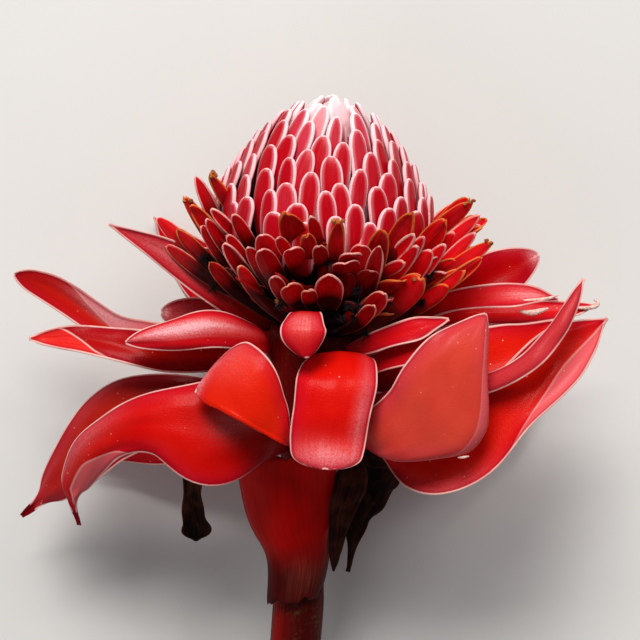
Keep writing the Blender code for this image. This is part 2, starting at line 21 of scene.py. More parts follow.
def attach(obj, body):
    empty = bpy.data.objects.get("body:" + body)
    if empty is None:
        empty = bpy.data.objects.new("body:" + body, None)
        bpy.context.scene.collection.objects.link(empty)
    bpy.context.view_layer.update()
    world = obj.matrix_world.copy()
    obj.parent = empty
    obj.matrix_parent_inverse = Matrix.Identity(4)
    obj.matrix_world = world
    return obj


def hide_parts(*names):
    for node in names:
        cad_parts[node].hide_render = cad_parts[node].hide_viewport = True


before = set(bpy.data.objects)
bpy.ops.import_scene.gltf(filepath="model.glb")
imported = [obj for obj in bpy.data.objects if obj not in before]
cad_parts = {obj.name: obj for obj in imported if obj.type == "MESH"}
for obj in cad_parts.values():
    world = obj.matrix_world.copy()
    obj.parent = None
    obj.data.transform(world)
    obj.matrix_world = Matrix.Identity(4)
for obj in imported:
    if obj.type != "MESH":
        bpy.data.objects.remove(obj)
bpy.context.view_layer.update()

LOG = logging.getLogger("torch ginger")

Colour = tuple[float, float, float]
Point = tuple[float, float, float]
Vert = bmesh.types.BMVert
Socket = bpy.types.NodeSocket
Material = bpy.types.Material
Object = bpy.types.Object

MM = 0.001
GAP = 0.3
CLEAR_OF_FLOOR = 0.02

STEM_RADIUS = 8.2
STEM_LENGTH = 215.0
RISE = math.radians(15.0)
LEAN = math.radians(4.5)
HEAD_HEIGHT = STEM_LENGTH * math.sin(RISE) + STEM_RADIUS * math.cos(RISE)
HEAD_AT = Vector((4.3, 65.9, HEAD_HEIGHT))
PATHS_AT = HEAD_AT + Vector((1.0, 0.0, 0.0))

AXIS = Vector((math.sin(LEAN) * math.cos(RISE), math.cos(LEAN) * math.cos(RISE), math.sin(RISE)))
UPPER = (Vector((0.0, 0.0, 1.0)) - AXIS * AXIS.z).normalized()
SIDE = AXIS.cross(UPPER)

RECEPTACLE_RADIUS = 17.0
RECEPTACLE_FROM = -62.0
RECEPTACLE_FULL = -6.0
RECEPTACLE_TOP = 2.0

GOLDEN_ANGLE = math.radians(137.508)
TIP_WIDTH = 0.9
TIP_CROWDING = 1.5
NO_CREASE = -9.0

# The camera's view: millimetres to a pixel at PATHS_AT, its width, where PATHS_AT is seen in it and
# the corner from which tips are measured, in pixels, and how far the camera is above, in millimetres.
PIXEL = 0.335
VIEW_WIDTH = 640.0
VIEW_MIDDLE = (320.0, 330.0)
VIEW_CORNER = (150.0, 170.0)
CAMERA_ABOVE = 1000.0


# ---------------------------------------------------------------- the flower's own geometry


def along_axis(height: float) -> Vector:
    """Point of the flower's axis at this height above the head centre."""
    return HEAD_AT + AXIS * height


def outward(azimuth: float) -> Vector:
    """Direction square to the axis, 0 towards the upper side and growing to the right."""
    return UPPER * math.cos(azimuth) + SIDE * math.sin(azimuth)


def around(azimuth: float, radius: float, height: float) -> Vector:
    """Point at this azimuth, distance from the axis and height along it."""
    return along_axis(height) + outward(azimuth) * radius


def smooth(share: float) -> float:
    """Eased step from 0 to 1."""
    share = min(max(share, 0.0), 1.0)
    return share * share * (3.0 - 2.0 * share)


def receptacle_radius(height: float) -> float:
    """Radius of the stem and its swollen top."""
    share = (height - RECEPTACLE_FROM) / (RECEPTACLE_FULL - RECEPTACLE_FROM)
    return STEM_RADIUS + (RECEPTACLE_RADIUS - STEM_RADIUS) * smooth(share)


def spline(points: list[Vector], share: float) -> Vector:
    """Point of a smooth curve through all the points.

    Args:
        points: The points, first to last.
        share: 0 at the first point and 1 at the last.

    Returns:
        The point of the curve.
    """
    last = len(points) - 1
    place = min(max(share, 0.0), 1.0) * last
    first = min(int(place), last - 1)
    t = place - first
    b, c = points[first], points[first + 1]
    a = points[first - 1] if first else b * 2.0 - c
    d = points[first + 2] if first + 2 <= last else c * 2.0 - b
    return 0.5 * (
        b * 2.0 + (c - a) * t + (a * 2.0 - b * 5.0 + c * 4.0 - d) * t * t + (b * 3.0 - a - c * 3.0 + d) * t**3
    )


def heading(points: list[Vector], share: float, reach: float) -> Vector:
    """Direction of that curve here, over this share of it to both sides."""
    return (spline(points, min(share + reach, 1.0)) - spline(points, max(share - reach, 0.0))).normalized()


def seen(point: Vector) -> tuple[float, float]:
    """Where the camera sees a point, in pixels from the left and from the top of its view."""
    right, up, above = point - PATHS_AT
    near = 1.0 - above / CAMERA_ABOVE
    return VIEW_MIDDLE[0] + right / near / PIXEL, VIEW_MIDDLE[1] - up / near / PIXEL


def rough(point: Vector, size: float, seed: float = 0.0) -> float:
    """Smooth seeded noise between about -1 and 1, with bumps of this size."""
    return noise.noise(point / size + Vector((seed * 7.3, seed * 3.1, seed)))


class Tissue:
    """A mesh in the making, in millimetres, with the numbers on its points that its finish reads."""

    def __init__(self, *names: str) -> None:
        """Starts empty, with a number layer for each name and a layer of places along the grain."""
        self.shape = bmesh.new()
        self.layers = {name: self.shape.verts.layers.float.new(name) for name in names}
        if names:
            self.grain = self.shape.verts.layers.float_vector.new("grain")

    def mark(self, vert: Vert, **numbers: float) -> None:
        """Keeps these numbers on a point."""
        for name, number in numbers.items():
            vert[self.layers[name]] = float(number)

    def read(self, vert: Vert, name: str) -> float:
        """A number kept on a point."""
        return vert[self.layers[name]]

    def turned(self, profile: list[tuple[float, float]], sides: int) -> list[Vert]:
        """Adds a solid turned about the flower's axis.

        Args:
            profile: Its (radius, height) points from one end to the other, near the axis at both.
            sides: How many sides it has.

        Returns:
            Its points.
        """
        before = set(self.shape.verts)
        line = [self.shape.verts.new(along_axis(height) + UPPER * radius) for radius, height in profile]
        edges = [self.shape.edges.new(pair) for pair in zip(line, line[1:])]
        whole = dict(cent=HEAD_AT, axis=AXIS, angle=math.tau, steps=sides, use_merge=True)
        bmesh.ops.spin(self.shape, geom=line + edges, **whole)
        made = [vert for vert in self.shape.verts if vert not in before]
        open_edges = {edge: None for vert in made for edge in vert.link_edges if edge.is_boundary}
        bmesh.ops.holes_fill(self.shape, edges=list(open_edges), sides=sides)
        return made

    def face_outwards(self) -> None:
        """Turns every face outwards."""
        bmesh.ops.recalc_face_normals(self.shape, faces=self.shape.faces)

    def finished(self, name: str, material: Material, levels: int = 0) -> Object:
        """Writes the mesh to a new object in metres.

        Args:
            name: The object's name.
            material: Its finish.
            levels: How often a Subdivision Surface modifier divides it.

        Returns:
            The new object, smooth shaded, at the origin.
        """
        bmesh.ops.scale(self.shape, vec=(MM, MM, MM), verts=self.shape.verts)
        mesh = bpy.data.meshes.new(name)
        self.shape.to_mesh(mesh)
        self.shape.free()
        mesh.materials.append(material)
        mesh.shade_smooth()
        made = bpy.data.objects.new(name, mesh)
        bpy.context.scene.collection.objects.link(made)
        if levels:
            soften(made, levels)
        return made


def soften(piece: Object, levels: int) -> None:
    """Adds a Subdivision Surface modifier, the same in the view and in a render."""
    softer = piece.modifiers.new("softer", "SUBSURF")
    softer.levels = softer.render_levels = levels


def settle(piece: Object, slot: str, *nodes: str) -> None:
    """Lets the piece ride on the flower and stand for its solids.

    Args:
        piece: The piece.
        slot: Its material slot; not used.
        nodes: The solids that it replaces, if any.
    """
    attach(piece, "root")
    if nodes:
        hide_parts(*nodes)
    LOG.info("%s: %d faces before its modifiers", piece.name, len(piece.data.polygons))


# ---------------------------------------------------------------- finishes


class Value:
    """A number that varies over a surface, with arithmetic that adds Math nodes."""

    def __init__(self, finish: "Dye", socket: Socket) -> None:
        """Wraps one socket of the finish's node tree."""
        self.finish = finish
        self.socket = socket

    def _math(self, operation: str, first: object, second: object) -> "Value":
        """A Math node with this operation on two operands."""
        return Value(self.finish, self.finish.node("Math", {"operation": operation}, {0: first, 1: second}))

    def __add__(self, other: object) -> "Value":
        """Sum."""
        return self._math("ADD", self, other)

    def __sub__(self, other: object) -> "Value":
        """Difference."""
        return self._math("SUBTRACT", self, other)

    def __rsub__(self, other: object) -> "Value":
        """Difference, the other way round."""
        return self._math("SUBTRACT", other, self)

    def __mul__(self, other: object) -> "Value":
        """Product."""
        return self._math("MULTIPLY", self, other)

    __radd__, __rmul__ = __add__, __mul__

    def size(self) -> "Value":
        """The number without its sign."""
        return self._math("ABSOLUTE", self, 0.0)

    def least(self, other: object) -> "Value":
        """The lower of two numbers."""
        return self._math("MINIMUM", self, other)

    def step(self, low: float, high: float) -> "Value":
        """Eased step, which falls where high is the lower one.

        Args:
            low: Where it is 0.
            high: Where it is 1.

        Returns:
            The step, 0 to 1.
        """
        ends = {"Value": self, "From Min": min(low, high), "From Max": max(low, high)}
        rising = Value(self.finish, self.finish.node("MapRange", {"interpolation_type": "SMOOTHSTEP"}, ends))
        return rising if low < high else 1.0 - rising


class Dye:
    """Builds one procedural material."""

    def __init__(self, name: str) -> None:
        """Starts an empty material with its shader and output.

        Args:
            name: The material's name.
        """
        self.material = bpy.data.materials.new(name)
        self.material.use_nodes = True
        self.tree = self.material.node_tree
        self.tree.nodes.clear()
        output = self.tree.nodes.new("ShaderNodeOutputMaterial")
        self.shader = self.tree.nodes.new("ShaderNodeBsdfPrincipled")
        self.tree.links.new(self.shader.outputs[0], output.inputs[0])

    def feed(self, socket: Socket, value: object) -> None:
        """Links a value to a socket, or sets it where it is a plain number, vector or colour.

        Args:
            socket: The socket.
            value: What it gets.
        """
        if isinstance(value, Value):
            value = value.socket
        if isinstance(value, Socket):
            self.tree.links.new(value, socket)
        elif isinstance(value, tuple) and socket.type == "RGBA":
            socket.default_value = (*value, 1.0)
        else:
            socket.default_value = value

    def node(
        self, kind: str, settings: dict[str, object], inputs: dict[object, object], out: object = 0
    ) -> Socket:
        """Adds a shader node.

        Args:
            kind: The node's type, without its ShaderNode.
            settings: Its properties, set first.
            inputs: Values or links for its sockets, by name or number.
            out: Which of its outputs is wanted, by name or number.

        Returns:
            That output.
        """
        made = self.tree.nodes.new(f"ShaderNode{kind}")
        for key, value in settings.items():
            setattr(made, key, value)
        for key, value in inputs.items():
            self.feed(made.inputs[key], value)
        return made.outputs[out]

    def attribute(self, name: str) -> Value:
        """A number kept on the piece's points."""
        return Value(self, self.node("Attribute", {"attribute_name": name}, {}, "Fac"))

    def grain(self, *stretch: float) -> Socket:
        """The place along the piece's grain, in millimetres, multiplied by the stretch in x, y and z."""
        kept = self.node("Attribute", {"attribute_name": "grain"}, {}, "Vector")
        return self.node("VectorMath", {"operation": "MULTIPLY"}, {0: kept, 1: stretch})

    def place(self, stretch: float) -> Socket:
        """Object coordinates in millimetres, multiplied by the stretch."""
        here = self.node("TexCoord", {}, {}, "Object")
        return self.node("VectorMath", {"operation": "SCALE"}, {0: here, "Scale": stretch / MM})

    def cloud(self, vector: Socket, detail: float = 2.0, twist: float = 0.0) -> Value:
        """Noise around 0.5 on a vector, one cell to a unit."""
        inputs = {"Vector": vector, "Scale": 1.0, "Detail": detail, "Distortion": twist}
        return Value(self, self.node("TexNoise", {}, inputs))

    def spots(self, vector: Socket) -> Value:
        """Distance from the nearest of many scattered points."""
        return Value(self, self.node("TexVoronoi", {}, {"Vector": vector, "Scale": 1.0}))

    def blend(self, share: object, below: object, above: object) -> Socket:
        """A colour between two others."""
        return self.node("Mix", {"data_type": "RGBA"}, {0: share, 6: below, 7: above}, 2)

    def bump(self, height: Value, depth: float, under: Socket | None = None) -> Socket:
        """A relief of this depth in millimetres, over another one where it is given."""
        over = {} if under is None else {"Normal": under}
        return self.node("Bump", {}, {"Height": height, "Strength": 1.0, "Distance": depth * MM, **over})

    def margin(self) -> Value:
        """Distance in millimetres to the outline of a floral bract, from its aside, half and ahead."""
        inside = (1.0 - self.attribute("aside").size()) * self.attribute("half")
        return inside.least(self.attribute("ahead"))

    def gloss(self, level: float, coat: float, coat_roughness: float) -> None:
        """Sets how strongly the surface shines, the same all over.

        Args:
            level: Strength of its own reflection.
            coat: Strength of the clear layer's.
            coat_roughness: Roughness of that layer.
        """
        self.shader.inputs["Specular IOR Level"].default_value = level
        self.shader.inputs["Coat Weight"].default_value = coat
        self.shader.inputs["Coat Roughness"].default_value = coat_roughness

    def worn(self, colour: Socket, roughness: object, relief: Socket | None = None) -> Material:
        """The finished material.

        Args:
            colour: Its colour.
            roughness: Its roughness.
            relief: Its relief, where it has one.

        Returns:
            The material.
        """
        self.feed(self.shader.inputs["Base Color"], colour)
        self.feed(self.shader.inputs["Roughness"], roughness)
        if relief is not None:
            self.feed(self.shader.inputs["Normal"], relief)
        return self.material


class Skin(Enum):
    """Which finish a blade wears."""

    WAXY = "waxy bract"
    SHEATH = "stem sheath"
    WITHERED = "withered sheath"


@dataclass(frozen=True)
class WaxyBract:
    """Thick waxy bract: a red inner face, a duller outer face, folded parts, a pale rim, painted highlights
    and painted shade.
    """

    name: str = "waxy_bract"
    crimson: Colour = (0.6, 0.001, 0.004)
    scarlet: Colour = (0.8, 0.026, 0.006)
    magenta: Colour = (0.56, 0.006, 0.036)
    outer_red: Colour = (0.52, 0.022, 0.012)
    outer_rose: Colour = (0.68, 0.08, 0.05)
    outer_lilac: Colour = (0.6, 0.05, 0.085)
    base: Colour = (0.2, 0.001, 0.002)
    bloom: Colour = (0.86, 0.42, 0.44)
    rim_shade: Colour = (0.22, 0.001, 0.02)
    speck: Colour = (0.85, 0.42, 0.3)
    fold_red: Colour = (0.78, 0.02, 0.01)
    fold_pink: Colour = (0.74, 0.17, 0.19)
    rim: Colour = (0.86, 0.5, 0.45)
    rim_width: float = 0.54
    roughness: float = 0.33
    fibre_depth: float = 0.04
    pebble_depth: float = 0.12

    def material(self) -> Material:
        """The finish as a material.

        Returns:
            A material that reads warm, rose, outer, deep, edge, along, bloom, crease, pink, pale and grain.
        """
        dye = Dye(self.name)
        edge, along, deep = dye.attribute("edge"), dye.attribute("along"), dye.attribute("deep")
        bloom, crease = dye.attribute("bloom"), dye.attribute("crease")
        streak = dye.cloud(dye.grain(1.1, 0.05, 1.0), 4.0, 0.3)
        fibre = dye.cloud(dye.grain(3.2, 0.16, 1.0))
        patch, pebble = dye.cloud(dye.place(0.07), 3.0, 0.6), dye.cloud(dye.place(1.9))
        warm = dye.attribute("warm") + (patch - 0.5) * 0.7 + (streak - 0.5) * 0.12
        open_face = dye.blend(warm, self.crimson, self.scarlet)
        inner = dye.blend(edge.step(7.0, 0.8) * (0.25 + patch * 0.5), open_face, self.magenta)
        rose = dye.attribute("rose") + (patch - 0.5) * 0.8 + (streak - 0.5) * 0.15
        rosy = dye.blend(rose, self.outer_red, self.outer_rose)
        back = dye.blend(edge.step(9.0, 1.0) * 0.55, rosy, self.outer_lilac)
        red = dye.blend(dye.attribute("outer"), inner, back)
        # Darker towards the root: painted shade where the bracts crowd round the receptacle. deep adds the
        # same dark red over a whole blade, partly its own darker red and partly painted shade on the side and
        # back bracts, and the dark red of a spur at its tip.
        dark = dye.blend(along.step(0.34, 0.0) * 0.7 + deep + (streak - 0.6) * 0.2, red, self.base)
        fold = dye.blend(dye.attribute("pink") + (streak - 0.5) * 0.5, self.fold_red, self.fold_pink)
        folded = dye.blend(crease.step(-0.14, 0.14) * 0.92, dark, fold)
        # Painted highlight: a pale sheen where the bloom spots lie, grained by the streaks and pebbles; a few
        # spots widen the pale rim at a tip or mark a pink patch.
        sheen = bloom * (0.45 + streak.step(0.3, 0.7) * 0.25 + (pebble - 0.5) * 1.3)
        with_sheen = dye.blend(sheen, folded, self.bloom)
        line = dye.blend(crease.size().step(0.5, 0.12) * dye.attribute("pale"), with_sheen, self.rim)
        # A thin dark band just inside the pale rim: painted shade along the thick rim.
        lined = dye.blend(edge.step(1.9, 0.7) * 0.4, line, self.rim_shade)
        dots = dye.spots(dye.place(0.3)).step(0.1, 0.05) * patch.step(0.45, 0.6)
        dotted = dye.blend(dots * 0.8, lined, self.speck)
        near = (edge + (streak - 0.5) * 0.2).step(self.rim_width + 0.2, self.rim_width - 0.16)
        pale = near * (0.62 + patch.step(0.3, 0.6) * 0.36) * along.step(0.1, 0.35) * deep.step(1.2, 0.7)
        dye.gloss(0.06, 0.06, 0.16)
        dull = self.roughness + (patch - 0.5) * 0.14 + (pebble - 0.5) * 0.1 + bloom * 0.08
        relief = dye.bump(pebble, self.pebble_depth, dye.bump(fibre * 0.4 + streak * 0.6, self.fibre_depth))
        return dye.worn(dye.blend(pale, dotted, self.rim), dull, relief)


@dataclass(frozen=True)
class ClosedFlesh:
    """Closed floral bract: a red face inside a broad pale rim, painted shade towards its foot, and pinker and
    whiter towards the top of the head, partly paler tips and partly painted highlight.
    """

    name: str = "closed_floral_flesh"
    red: Colour = (0.5, 0.003, 0.014)
    pink: Colour = (0.7, 0.09, 0.14)
    deep: Colour = (0.22, 0.001, 0.003)
    rim: Colour = (0.95, 0.58, 0.61)
    lit_top_white: Colour = (0.95, 0.83, 0.85)
    rim_width: float = 0.7
    roughness: float = 0.34
    relief: float = 0.14

    def material(self) -> Material:
        """The finish as a material.

        Returns:
            A material that reads aside, half, ahead, along, share, tone, front and grain.
        """
        dye = Dye(self.name)
        along, share, tone = dye.attribute("along"), dye.attribute("share"), dye.attribute("tone")
        streak, grain = dye.cloud(dye.grain(1.4, 0.16, 1.0), 3.0), dye.cloud(dye.place(1.6))
        # Pinker faces, whiter and wider rims and a white crown towards the top: partly the tips' own paler
        # colour, partly painted highlight where the top of the head is lit to white.
        top = share.step(0.36, 0.0)
        face = dye.blend(top * 0.7 + (tone - 0.55) * 0.5 + (streak - 0.5) * 0.6, self.red, self.pink)
        shaded = dye.blend(along.step(0.6, 0.15) * 0.8, face, self.deep)
        rim = dye.blend(top * 0.8 + (streak - 0.5) * 0.3, self.rim, self.lit_top_white)
        edge = dye.margin() + (grain - 0.5) * 0.25 - top * 0.3
        crisp, soft = edge.step(self.rim_width + 0.2, self.rim_width - 0.2), edge.step(2.1, 0.4) * 0.32
        pale = (crisp * 0.9 + soft) * along.step(0.05, 0.5) * dye.attribute("front").step(-0.75, -0.1)
        crown = share.step(0.085, 0.03) * along.step(0.5, 0.95) * 0.8
        colour = dye.blend(crown, dye.blend(pale, shaded, rim), self.lit_top_white)
        dye.gloss(0.14, 0.05, 0.22)
        dull = self.roughness + (grain - 0.5) * 0.16 + top * 0.1
        return dye.worn(colour, dull, dye.bump(streak * 0.7 + grain * 0.3, self.relief))


@dataclass(frozen=True)
class SpentFlesh:
    """Spent floral bract: a deep red strap with a thin golden rim, scorched where it has dried, and painted
    shade towards its root.
    """

    name: str = "spent_floral_flesh"
    red: Colour = (0.88, 0.008, 0.016)
    wine: Colour = (0.28, 0.001, 0.002)
    shade: Colour = (0.02, 0.0006, 0.001)
    gold: Colour = (0.8, 0.28, 0.09)
    pinkish: Colour = (0.92, 0.48, 0.44)
    scorched: Colour = (0.62, 0.1, 0.012)
    rim_width: float = 0.34
    shade_from: float = 7.0
    shade_full: float = 23.0
    roughness: float = 0.33
    relief: float = 0.2

    def material(self) -> Material:
        """The finish as a material.

        Returns:
            A material that reads aside, half, ahead, along, tone, dry and grain.
        """
        dye = Dye(self.name)
        along, tone, dry = dye.attribute("along"), dye.attribute("tone"), dye.attribute("dry")
        edge = dye.margin()
        streak, patch = dye.cloud(dye.grain(1.5, 0.16, 1.0), 3.0), dye.cloud(dye.place(0.35), 3.0)
        face = dye.blend(tone * 0.8 + (streak - 0.5) * 0.9 + (patch - 0.5) * 0.4, self.wine, self.red)
        deep = dye.attribute("ahead").step(self.shade_from, self.shade_full)
        shaded = dye.blend(deep * (1.0 - tone * 0.2), face, self.shade)
        rim = dye.blend(dry.step(0.15, 0.5), self.pinkish, self.gold)
        rimmed = edge.step(self.rim_width + 0.18, self.rim_width - 0.14)
        near = rimmed * (1.0 - deep * 0.7) * tone.step(0.02, 0.3)
        pale = dye.blend(near * (0.6 + patch.step(0.35, 0.6) * 0.38), shaded, rim)
        fringe = edge.step(0.9, 0.2) * (0.2 + patch.step(0.45, 0.6) * 0.6)
        burnt = dry.step(0.3, 1.0) * fringe * along.step(0.6, 0.95)
        dye.gloss(0.2, 0.06, 0.2)
        dull = self.roughness + (patch - 0.5) * 0.2 + dry * 0.2
        relief = dye.bump(streak * 0.6 + patch * 0.6, self.relief)
        return dye.worn(dye.blend(burnt, pale, self.scorched), dull, relief)


@dataclass(frozen=True)
class SheathSkin:
    """Sheath that wraps the stem: deep red with brown tints, darker at its foot, lengthwise streaks and a
    painted sheen.
    """

    name: str = "sheath_skin"
    red: Colour = (0.52, 0.002, 0.002)
    brown: Colour = (0.2, 0.01, 0.003)
    maroon: Colour = (0.05, 0.003, 0.002)
    sheen: Colour = (0.5, 0.1, 0.07)
    roughness: float = 0.42
    relief: float = 0.14

    def material(self) -> Material:
        """The finish as a material.

        Returns:
            A material that reads along, edge, bloom and grain.
        """
        dye = Dye(self.name)
        along, bloom, edge = dye.attribute("along"), dye.attribute("bloom"), dye.attribute("edge")
        streak, fibre = dye.cloud(dye.grain(0.9, 0.035, 1.0), 4.0, 0.2), dye.cloud(dye.grain(3.6, 0.12, 1.0))
        patch = dye.cloud(dye.place(0.06), 3.0, 0.5)
        red = dye.blend((streak - 0.35) * 0.8 + (patch - 0.5) * 0.9, self.red, self.brown)
        foot = dye.blend(along.step(0.42, 0.1) + (patch - 0.5) * 0.4, red, self.maroon)
        # Painted highlight: a pale sheen where the bloom spots lie, broken up by the fibre.
        with_sheen = dye.blend(bloom * (0.2 + fibre.step(0.35, 0.7) * 0.8), foot, self.sheen)
        margin = dye.blend(edge.step(0.9, 0.1) * 0.7, with_sheen, self.maroon)
        dye.gloss(0.08, 0.03, 0.25)
        dull = self.roughness + (fibre - 0.5) * 0.2
        return dye.worn(margin, dull, dye.bump(fibre * 0.5 + streak, self.relief))


@dataclass(frozen=True)
class StemSkin:
    """Stem: dark maroon with a redder strip and brown-green speckles."""

    name: str = "stem_skin"
    maroon: Colour = (0.07, 0.004, 0.003)
    strip: Colour = (0.28, 0.004, 0.004)
    olive: Colour = (0.09, 0.07, 0.02)
    cut: Colour = (0.42, 0.36, 0.2)
    roughness: float = 0.45
    relief: float = 0.3

    def material(self) -> Material:
        """The finish as a material.

        Returns:
            A material that reads left, cut and grain.
        """
        dye = Dye(self.name)
        left, cut = dye.attribute("left"), dye.attribute("cut")
        streak = dye.cloud(dye.grain(1.1, 0.05, 1.0), 4.0, 0.3)
        patch, speck = dye.cloud(dye.place(0.12), 3.0), dye.cloud(dye.place(0.8), 3.0)
        red = dye.blend(left * 0.9 + (streak - 0.5) * 0.9, self.maroon, self.strip)
        spotted = dye.blend(speck.step(0.52, 0.7) * patch.step(0.4, 0.65) * 0.8, red, self.olive)
        dye.gloss(0.1, 0.0, 0.3)
        dull = self.roughness + (speck - 0.5) * 0.3 + cut * 0.3
        return dye.worn(dye.blend(cut, spotted, self.cut), dull, dye.bump(streak + speck * 0.5, self.relief))


@dataclass(frozen=True)
class Withered:
    """Dead tissue: dull, wrinkled and nearly black, browner where it is thin."""

    name: str = "withered"
    black: Colour = (0.012, 0.007, 0.006)
    brown: Colour = (0.09, 0.035, 0.018)
    reddish: Colour = (0.17, 0.02, 0.012)
    roughness: float = 0.72
    relief: float = 0.9

    def material(self) -> Material:
        """The finish as a material.

        Returns:
            A material that reads warm, edge and grain.
        """
        dye = Dye(self.name)
        streak = dye.cloud(dye.grain(1.0, 0.09, 1.0), 4.0, 0.6)
        patch = dye.cloud(dye.place(0.22), 4.0, 0.5)
        dark = dye.blend(patch.step(0.35, 0.7) * 0.6 + (streak - 0.5), self.black, self.brown)
        warmer = dye.blend(dye.attribute("warm") * streak.step(0.3, 0.7), dark, self.reddish)
        thin = dye.blend(dye.attribute("edge").step(0.9, 0.1) * 0.5, warmer, self.brown)
        dye.gloss(0.1, 0.0, 0.3)
        dull = self.roughness + (patch - 0.5) * 0.3
        return dye.worn(thin, dull, dye.bump(streak + patch * 0.6, self.relief))


@dataclass(frozen=True)
class DryScrap:
    """Crumpled dry tissue, in one colour range."""

    name: str
    light: Colour
    dark: Colour
    roughness: float = 0.8
    relief: float = 0.5

    def material(self) -> Material:
        """The finish as a material.

        Returns:
            A material that reads no numbers of the piece.
        """
        dye = Dye(self.name)
        patch, fuzz = dye.cloud(dye.place(0.9), 4.0, 0.8), dye.cloud(dye.place(3.0), 3.0)
        colour = dye.blend(patch.step(0.35, 0.65) * 0.8 + (fuzz - 0.5) * 0.9, self.dark, self.light)
        return dye.worn(colour, self.roughness, dye.bump(patch + fuzz * 0.6, self.relief))


@dataclass(frozen=True)
class PaleCard:
    """The plain pale surface that the flower lies on."""

    name: str = "pale_card"
    colour: Colour = (0.72, 0.71, 0.69)
    lighter: float = 1.04
    roughness: float = 0.85

    def material(self) -> Material:
        """The finish as a material.

        Returns:
            A material that reads no numbers of the piece.
        """
        dye = Dye(self.name)
        light = tuple(min(part * self.lighter, 1.0) for part in self.colour)
        return dye.worn(dye.blend(dye.cloud(dye.place(0.02), 3.0), self.colour, light), self.roughness)


# ---------------------------------------------------------------- blades


@dataclass(frozen=True)
class Patch:
    """A soft pale spot on a blade, mostly a painted highlight: its middle and half sizes, across from -1 to 1
    and along from 0 to 1.
    """

    across: float
    along: float
    width: float
    length: float
    strength: float = 1.0

    def at(self, across: float, along: float) -> float:
        """Strength of the spot at this place."""
        x, y = (across - self.across) / self.width, (along - self.along) / self.length
        return self.strength * math.exp(-x * x - y * y)


@dataclass(frozen=True)
class Crease:
    """A fold of a blade, along a line of (along, across) points, and the part of it beyond the line.

    side is the side beyond the line, -1 or 1. pink is how pink that part is, pale how light the line
    is and drop how steeply the part bends down, in millimetres for each millimetre.
    """

    line: tuple[tuple[float, float], ...] = ()
    side: float = 1.0
    pink: float = 0.5
    pale: float = 0.3
    drop: float = 0.25

    def beyond(self, across: float, along: float, half: float) -> float:
        """Distance beyond the line.

        Args:
            across: Place across the blade, -1 to 1.
            along: Place along it, 0 to 1.
            half: Its half width here, in millimetres.

        Returns:
            The distance in millimetres, negative on the line's near side and where there is no line.
        """
        for (start, low), (end, high) in zip(self.line, self.line[1:]):
            if start <= along <= end:
                return (across - low - (high - low) * (along - start) / (end - start)) * self.side * half
        return NO_CREASE


@dataclass(frozen=True)
class Look:
    """How a blade is finished, over its own shape.

    warm goes from crimson to scarlet. rose is how pink its outer face is. turned_out says that the
    face that shows is its outer one. deep is how much of the dark base colour is in its red, partly
    its own darker red and partly painted shade on the side and back bracts. folded says that its left
    margin is a fold, which has no rim. spur is the share of its length that is a dark spur at the tip.
    ripple, wave and keel are heights of its relief in millimetres, and waves is how many waves its
    margins make. mesh holds its rows and columns, thick and margin its thickness in the middle and at
    the rim. slant shears its foot along the stem. blooms are its pale spots, mostly painted
    highlights.
    """

    skin: Skin = Skin.WAXY
    warm: float = 0.4
    rose: float = 0.3
    turned_out: bool = False
    deep: float = 0.0
    folded: bool = False
    spur: float = 0.0
    ripple: float = 0.5
    wave: float = 0.5
    waves: float = 2.5
    keel: float = 0.35
    mesh: tuple[int, int] = (26, 12)
    thick: float = 1.3
    margin: float = 0.45
    slant: float = 0.0
    blooms: tuple[Patch, ...] = ()
    crease: Crease = Crease()


